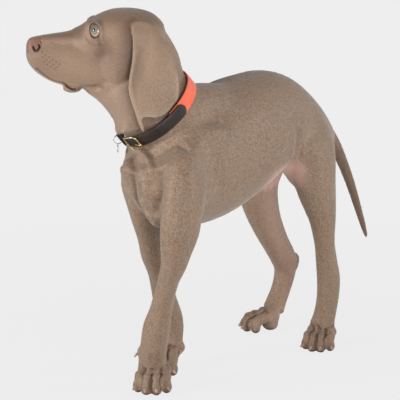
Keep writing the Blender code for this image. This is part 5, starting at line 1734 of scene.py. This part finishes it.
def swept(name, points, radius, sides=10, closed=True):
    """A round wire through points."""
    rows, normal = [], None
    count = len(points)
    for i, place in enumerate(points):
        before = points[i - 1] if (closed or i > 0) else place
        after = points[(i + 1) % count] if (closed or i < count - 1) else place
        along = (after - before).normalized()
        normal = along.orthogonal().normalized() if normal is None else normal
        normal = (normal - along * normal.dot(along)).normalized()
        other = along.cross(normal)
        thick = radius[i] if isinstance(radius, list) else radius
        turns = np.linspace(0, 2 * math.pi, sides, endpoint=False)
        rows.append([place + (normal * math.cos(t) + other * math.sin(t)) * thick for t in turns])
    work = bmesh.new()
    verts = [[work.verts.new(p) for p in row] for row in rows]
    pairs = list(zip(verts, verts[1:]))
    if closed:
        first, last = verts[0], verts[-1]
        shift = min(range(sides), key=lambda s: (last[0].co - first[s].co).length)
        pairs.append((last, first[shift:] + first[:shift]))
    for one, two in pairs:
        for k in range(sides):
            j = (k + 1) % sides
            work.faces.new((one[k], one[j], two[j], two[k]))
    if not closed:
        work.faces.new(tuple(reversed(verts[0])))
        work.faces.new(verts[-1])
    bmesh.ops.recalc_face_normals(work, faces=work.faces)
    return new_object(name, mesh_from(work, name))


# %% [markdown]
# ## Webbing and strap leather
# The nape is coral webbing, woven from flat yarns, and the throat is dark brown leather with a
# stitched edge. The weave is drawn along the strap's own map, so that it turns with the strap.

# %% Materials of the collar
weave, taken, given = shader_group(
    "plain weave",
    (("Map", "NodeSocketVector"), ("Yarns", "NodeSocketFloat")),
    (("Height", "NodeSocketFloat"), ("Shade", "NodeSocketFloat")),
)
parts_of_map = weave.add("ShaderNodeSeparateXYZ")
weave.join(taken.outputs["Map"], parts_of_map.inputs[0])
waves = []
for axis in ("X", "Y"):
    turn = weave.math("MULTIPLY", parts_of_map.outputs[axis], taken.outputs["Yarns"])
    waves.append(weave.math("SINE", weave.math("MULTIPLY", turn, 2 * math.pi)))
crossing = weave.math("MULTIPLY", waves[0], waves[1])
weave.join(weave.remap(crossing, -1.0, 1.0), given.inputs["Height"])
# painted shade in the weave's hollows, where the yarns pass under
weave.join(weave.remap(crossing, -0.8, 0.2, 0.55, 1.0), given.inputs["Shade"])

wear, worn, shown = shader_group(
    "worn surface",
    (("Position", "NodeSocketVector"), ("Scale", "NodeSocketFloat"), ("Base", "NodeSocketColor"))
    + (("Worn", "NodeSocketColor"), ("Amount", "NodeSocketFloat")),
    (("Color", "NodeSocketColor"), ("Grain", "NodeSocketFloat")),
)
fine = wear.add("ShaderNodeTexNoise")
wear.join(worn.outputs["Position"], fine.inputs["Vector"])
wear.join(worn.outputs["Scale"], fine.inputs["Scale"])
fine.inputs["Detail"].default_value = 6.0
patches = wear.noise(worn.outputs["Position"], 60.0, 3.0)
rubbed = wear.math("MULTIPLY", wear.remap(patches, 0.45, 0.70), worn.outputs["Amount"])
wear.join(wear.mix(rubbed, worn.outputs["Base"], worn.outputs["Worn"]), shown.inputs["Color"])
wear.join(fine.outputs["Fac"], shown.inputs["Grain"])


def finish_worn(name, base, worn_colour, amount, scale, depth, rough, **constants):
    made, tree, shader = new_material(name, **constants)
    where = tree.add("ShaderNodeTexCoord").outputs["Object"]
    look = place_group(tree, wear, Position=where, Scale=scale, Base=base, Worn=worn_colour, Amount=amount)
    tree.join(look.outputs["Color"], shader.inputs["Base Color"])
    tree.join(tree.remap(look.outputs["Grain"], 0.3, 0.7, rough[0], rough[1]), shader.inputs["Roughness"])
    tree.relief(shader, look.outputs["Grain"], depth, 0.6)
    return made


webbing_look, tree, shader = new_material("coral_webbing")
shader.inputs["Sheen Weight"].default_value = 0.25
shader.inputs["Sheen Roughness"].default_value = 0.5
strap_map = tree.add("ShaderNodeUVMap", uv_map="strap_map").outputs["UV"]
cloth = place_group(tree, weave, Map=strap_map, Yarns=520.0)
where = tree.add("ShaderNodeTexCoord").outputs["Object"]
fade = tree.mix(tree.remap(tree.noise(where, 70.0), 0.35, 0.7), linear(255, 104, 70), linear(250, 126, 92))
# painted shade: the weave's hollows take the darker coral
tree.join(tree.mix(cloth.outputs["Shade"], linear(214, 66, 40), fade), shader.inputs["Base Color"])
tree.join(tree.remap(cloth.outputs["Height"], 0.0, 1.0, 0.85, 0.62), shader.inputs["Roughness"])
tree.relief(shader, cloth.outputs["Height"], 0.0003, 0.6)
leather_look = finish_worn("brown_leather", linear(30, 20, 15), linear(54, 39, 30), 0.55, 900.0, 0.0003,
    (0.38, 0.60))
brass_look = finish_worn("yellow_brass", linear(226, 204, 150), linear(176, 146, 92), 0.6, 300.0, 0.00005,
    (0.16, 0.34), Metallic=1.0)
steel_look = finish_worn("bright_steel", linear(196, 196, 198), linear(128, 128, 132), 0.6, 400.0, 0.00005,
    (0.18, 0.36), Metallic=1.0)
thread_look = finish_worn("waxed_thread", linear(104, 74, 56), linear(60, 42, 34), 0.6, 1500.0, 0.0001,
    (0.6, 0.8))

# %% [markdown]
# ## Webbing, leather strap and keeper
# Both straps are swept round the loop with rounded edges. The leather laps over the webbing with a
# round tongue, and a narrow leather keeper holds it near the throat.

# %% Straps
webbing = strap("webbing", -112, 96, 150, WEBBING_WIDTH, 0.0, WEBBING_THICKNESS)
finish_piece(webbing, webbing_look, "collar_webbing", slot="webbing")
leather = strap("leather_strap", 73, 268, 170, STRAP_WIDTH, LIFT, STRAP_THICKNESS, rounded=0.0085,
    crown=0.0004)
finish_piece(leather, leather_look, "collar_strap", slot="strap_leather")
keeper = strap("keeper", 185, 192, 8, STRAP_WIDTH + 0.0014, OUTSIDE, 0.0022, crown=0.0003)
finish_piece(keeper, leather_look, "collar_keeper", slot="strap_leather")

# %% [markdown]
# ## Stitches
# A row of stitches repeats along a path, which is what Geometry Nodes are good at: the path is
# resampled, a short thread is placed at each point and turned along it, and the threads are made
# real, because only real faces leave Blender.

# %% Stitch tree
def stitch_tree(thread_look):
    tree = bpy.data.node_groups.new("stitches", "GeometryNodeTree")
    tree.interface.new_socket("Geometry", in_out="INPUT", socket_type="NodeSocketGeometry")
    for label, value in (("Pitch", 0.0032), ("Length", 0.0021), ("Thread", 0.00035)):
        socket = tree.interface.new_socket(label, in_out="INPUT", socket_type="NodeSocketFloat")
        socket.default_value = value
    tree.interface.new_socket("Geometry", in_out="OUTPUT", socket_type="NodeSocketGeometry")
    nodes, links = tree.nodes, tree.links
    source, target = nodes.new("NodeGroupInput"), nodes.new("NodeGroupOutput")
    path = nodes.new("GeometryNodeMeshToCurve")
    spread = nodes.new("GeometryNodeResampleCurve")
    spread.mode = "LENGTH"
    thread = nodes.new("GeometryNodeMeshUVSphere")
    thread.inputs["Segments"].default_value = 8
    thread.inputs["Rings"].default_value = 5
    thread.inputs["Radius"].default_value = 0.5
    size = nodes.new("ShaderNodeCombineXYZ")
    tangent = nodes.new("GeometryNodeInputTangent")
    turn = nodes.new("FunctionNodeAlignRotationToVector")
    turn.axis = "Z"
    place = nodes.new("GeometryNodeInstanceOnPoints")
    real = nodes.new("GeometryNodeRealizeInstances")
    paint = nodes.new("GeometryNodeSetMaterial")
    paint.inputs["Material"].default_value = thread_look
    links.new(source.outputs["Geometry"], path.inputs[0])
    links.new(path.outputs[0], spread.inputs["Curve"])
    links.new(source.outputs["Pitch"], spread.inputs["Length"])
    links.new(source.outputs["Thread"], size.inputs["X"])
    links.new(source.outputs["Thread"], size.inputs["Y"])
    links.new(source.outputs["Length"], size.inputs["Z"])
    links.new(tangent.outputs[0], turn.inputs["Vector"])
    links.new(spread.outputs[0], place.inputs["Points"])
    links.new(thread.outputs["Mesh"], place.inputs["Instance"])
    links.new(turn.outputs["Rotation"], place.inputs["Rotation"])
    links.new(size.outputs[0], place.inputs["Scale"])
    links.new(place.outputs[0], real.inputs[0])
    links.new(real.outputs[0], paint.inputs["Geometry"])
    links.new(paint.outputs[0], target.inputs["Geometry"])
    return tree


def stitched(name, lines, tree, **values):
    """Threads along polylines, as a plain mesh."""
    verts, edges = [], []
    for line in lines:
        start = len(verts)
        verts += [tuple(p) for p in line]
        edges += [(start + k, start + k + 1) for k in range(len(line) - 1)]
    mesh = bpy.data.meshes.new(name)
    mesh.from_pydata(verts, edges, [])
    made = new_object(name, mesh)
    sewing = made.modifiers.new("stitches", "NODES")
    sewing.node_group = tree
    for item in tree.interface.items_tree:
        if item.in_out == "INPUT" and item.name in values:
            sewing[item.identifier] = values[item.name]
    return apply_modifiers(made)


stitches = stitch_tree(thread_look)
lines = []
for level in (-0.36, 0.36):
    top = OUTSIDE - GAP + 0.0002
    lines.append([LOOP.point(math.radians(a), level, top) for a in np.linspace(79, 148, 60)])
    lines.append([LOOP.point(math.radians(a), level, top) for a in np.linspace(194, 262, 60)])
seam = stitched("strap_stitches", lines, stitches, Pitch=0.0030, Length=0.0021, Thread=0.00042)
settle(seam, slot="strap_leather")
print("stitches", len(seam.data.polygons), "faces")

# %% [markdown]
# ## Buckle, prong, stud, ring and tag
# The buckle is a bent brass wire with rounded corners, its prong rests on it, and a small round steel
# tag hangs edge-on from a thin ring. All are swept or turned shapes with real thickness.

# %% Metal parts
WIRE = 0.00125
corners = []
for k in range(64):
    angle = 2 * math.pi * k / 64
    c, s = math.cos(angle), math.sin(angle)
    along = math.copysign(abs(c) ** 0.55, c) * 10.0
    across = math.copysign(abs(s) ** 0.55, s) * 0.64
    rise = 0.0006 + 0.0009 * float(ramp(0.75 - c, 0.0, 0.5))
    corners.append(LOOP.point(math.radians(162 + along), across, OUTSIDE + WIRE + rise))
buckle = swept("brass_buckle", corners, WIRE, 12)
finish_piece(buckle, brass_look, "buckle", slot="brass")
pin = [(149.4, 0.0046), (152.0, 0.0056), (155.0, 0.0042), (160.0, 0.0013)]
pin = smooth_between(pin, 6)
pin = [LOOP.point(math.radians(t), -0.12, OUTSIDE + r) for t, r in pin]
prong = swept("brass_prong", pin, 0.0009, 12, closed=False)
finish_piece(prong, brass_look, "buckle_prong", slot="brass")


def turned(name, centre, way, profile, sides=32):
    """A solid turned about a way: the profile is rows of radius and height."""
    work = bmesh.new()
    turn = Vector(way).to_track_quat("Z", "Y").to_matrix().to_4x4()
    rings = []
    for radius, height in profile:
        turns = np.linspace(0, 2 * math.pi, sides, endpoint=False)
        ring = [Vector((math.cos(t) * radius, math.sin(t) * radius, height)) for t in turns]
        rings.append([Matrix.Translation(centre) @ turn @ p for p in ring])
    loft(work, rings)
    bmesh.ops.recalc_face_normals(work, faces=work.faces)
    return new_object(name, mesh_from(work, name))


angle = math.radians(214)
dome = [(0.0024, -0.0008), (0.0024, 0.0002), (0.0021, 0.0007), (0.0014, 0.0010), (0.0006, 0.0011)]
stud = turned("steel_stud", LOOP.point(angle, 0.10, OUTSIDE + 0.0008), LOOP.way(angle), dome, 24)
finish_piece(stud, steel_look, "collar_stud", slot="steel")
RING_RADIUS, RING_WIRE = 0.0058, 0.0007
middle = LOOP.point(math.radians(201), -0.20, OUTSIDE + 0.0060)
level_way = Vector((0.81, 0.59, 0.0)).normalized()
around = np.linspace(0, 2 * math.pi, 48, endpoint=False)
upward = Vector((0, 0, 1))
hoop = [middle + (level_way * math.cos(t) + upward * math.sin(t)) * RING_RADIUS for t in around]
ring = swept("split_ring", hoop, RING_WIRE, 8)
finish_piece(ring, steel_look, "tag_ring", slot="steel")
hang = middle - Vector((0, 0, RING_RADIUS + RING_WIRE + GAP + 0.0058))
coin = [(0.0052, -0.00055), (0.0056, -0.00045), (0.0058, -0.0002), (0.0058, 0.0002), (0.0056, 0.00045),
    (0.0052, 0.00055)]
tag = turned("round_tag", hang, level_way, coin, 40)
finish_piece(tag, steel_look, "tag", slot="steel")

# %% [markdown]
# ## Stage, light and camera
# A pale seamless floor, a white surround and large soft lamps show the coat as a studio does. The
# camera stands at the dog's left front, a little above its back, with a long lens. Towards the camera
# the floor glows nearly as brightly as the surround, so that no horizon shows. The price is that most
# of the shadow under the paws is washed out.

# %% Floor, light and camera
def stage_floor():
    mesh = bpy.data.meshes.new("floor")
    reach = 6.0
    mesh.from_pydata([(-reach, -reach, 0), (reach, -reach, 0), (reach, reach, 0), (-reach, reach, 0)], [],
        [(0, 1, 2, 3)])
    floor = new_object("floor", mesh)
    made, tree, shader = new_material("ear_highlight_floor", Roughness=0.9)
    shader.inputs["Base Color"].default_value = (0.86, 0.86, 0.86, 1.0)
    shader.inputs["Specular IOR Level"].default_value = 0.1
    place = tree.add("ShaderNodeTexCoord").outputs["Object"]
    away = tree.add("ShaderNodeVectorMath", operation="LENGTH")
    tree.join(place, away.inputs[0])
    glow = tree.add("ShaderNodeEmission")
    glow.inputs["Color"].default_value = (0.855, 0.855, 0.855, 1.0)
    seen = tree.add("ShaderNodeLightPath").outputs["Is Camera Ray"]
    share = tree.math("MULTIPLY", seen, tree.remap(away.outputs["Value"], 0.35, 1.0, 0.94, 1.0))
    blend = tree.add("ShaderNodeMixShader")
    tree.join(share, blend.inputs["Fac"])
    tree.join(shader.outputs["BSDF"], blend.inputs[1])
    tree.join(glow.outputs["Emission"], blend.inputs[2])
    output = next(n for n in made.node_tree.nodes if n.type == "OUTPUT_MATERIAL")
    tree.join(blend.outputs["Shader"], output.inputs["Surface"])
    floor.data.materials.append(made)
    floor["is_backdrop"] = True
    return floor


def soft_lamp(name, place, size, power, target=(0, 0, 0.28)):
    lamp = bpy.data.lights.new(name, "AREA")
    lamp.shape = "DISK"
    lamp.size = size
    lamp.energy = power
    made = bpy.data.objects.new(name, lamp)
    made.location = place
    made.rotation_euler = (Vector(target) - Vector(place)).to_track_quat("-Z", "Y").to_euler()
    bpy.context.scene.collection.objects.link(made)
    return made


floor = stage_floor()
soft_lamp("key", (-1.2, -2.6, 1.0), 1.0, 54)
soft_lamp("rim", (2.2, 1.5, 0.8), 1.2, 24)
soft_lamp("fill", (2.4, -2.0, 0.6), 1.4, 44)
world = bpy.data.worlds.new("studio")
world.use_nodes = True
sky = Tree(world.node_tree)
backdrop = world.node_tree.nodes["Background"]
backdrop.inputs["Color"].default_value = (0.86, 0.86, 0.86, 1.0)
seen = sky.add("ShaderNodeLightPath").outputs["Is Camera Ray"]
sky.join(sky.remap(seen, 0.0, 1.0, 0.42, 1.0), backdrop.inputs["Strength"])
bpy.context.scene.world = world
bpy.context.scene.view_settings.view_transform = "Standard"

lens = bpy.data.cameras.new("camera")
lens.lens = 189
lens.sensor_width = 36
camera = bpy.data.objects.new("camera", lens)
camera.location = (1.779, -2.528, 0.8925)
camera.rotation_euler = (Vector((0.0544, -0.1537, 0.2688)) - camera.location).to_track_quat("-Z",
    "Y").to_euler()
bpy.context.scene.collection.objects.link(camera)
bpy.context.scene.camera = camera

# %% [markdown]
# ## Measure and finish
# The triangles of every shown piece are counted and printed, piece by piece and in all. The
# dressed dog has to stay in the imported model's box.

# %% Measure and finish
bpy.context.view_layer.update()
total = 0
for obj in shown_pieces():
    obj.data.calc_loop_triangles()
    total += len(obj.data.loop_triangles)
    print(obj.name, len(obj.data.loop_triangles))
print("triangles", total)
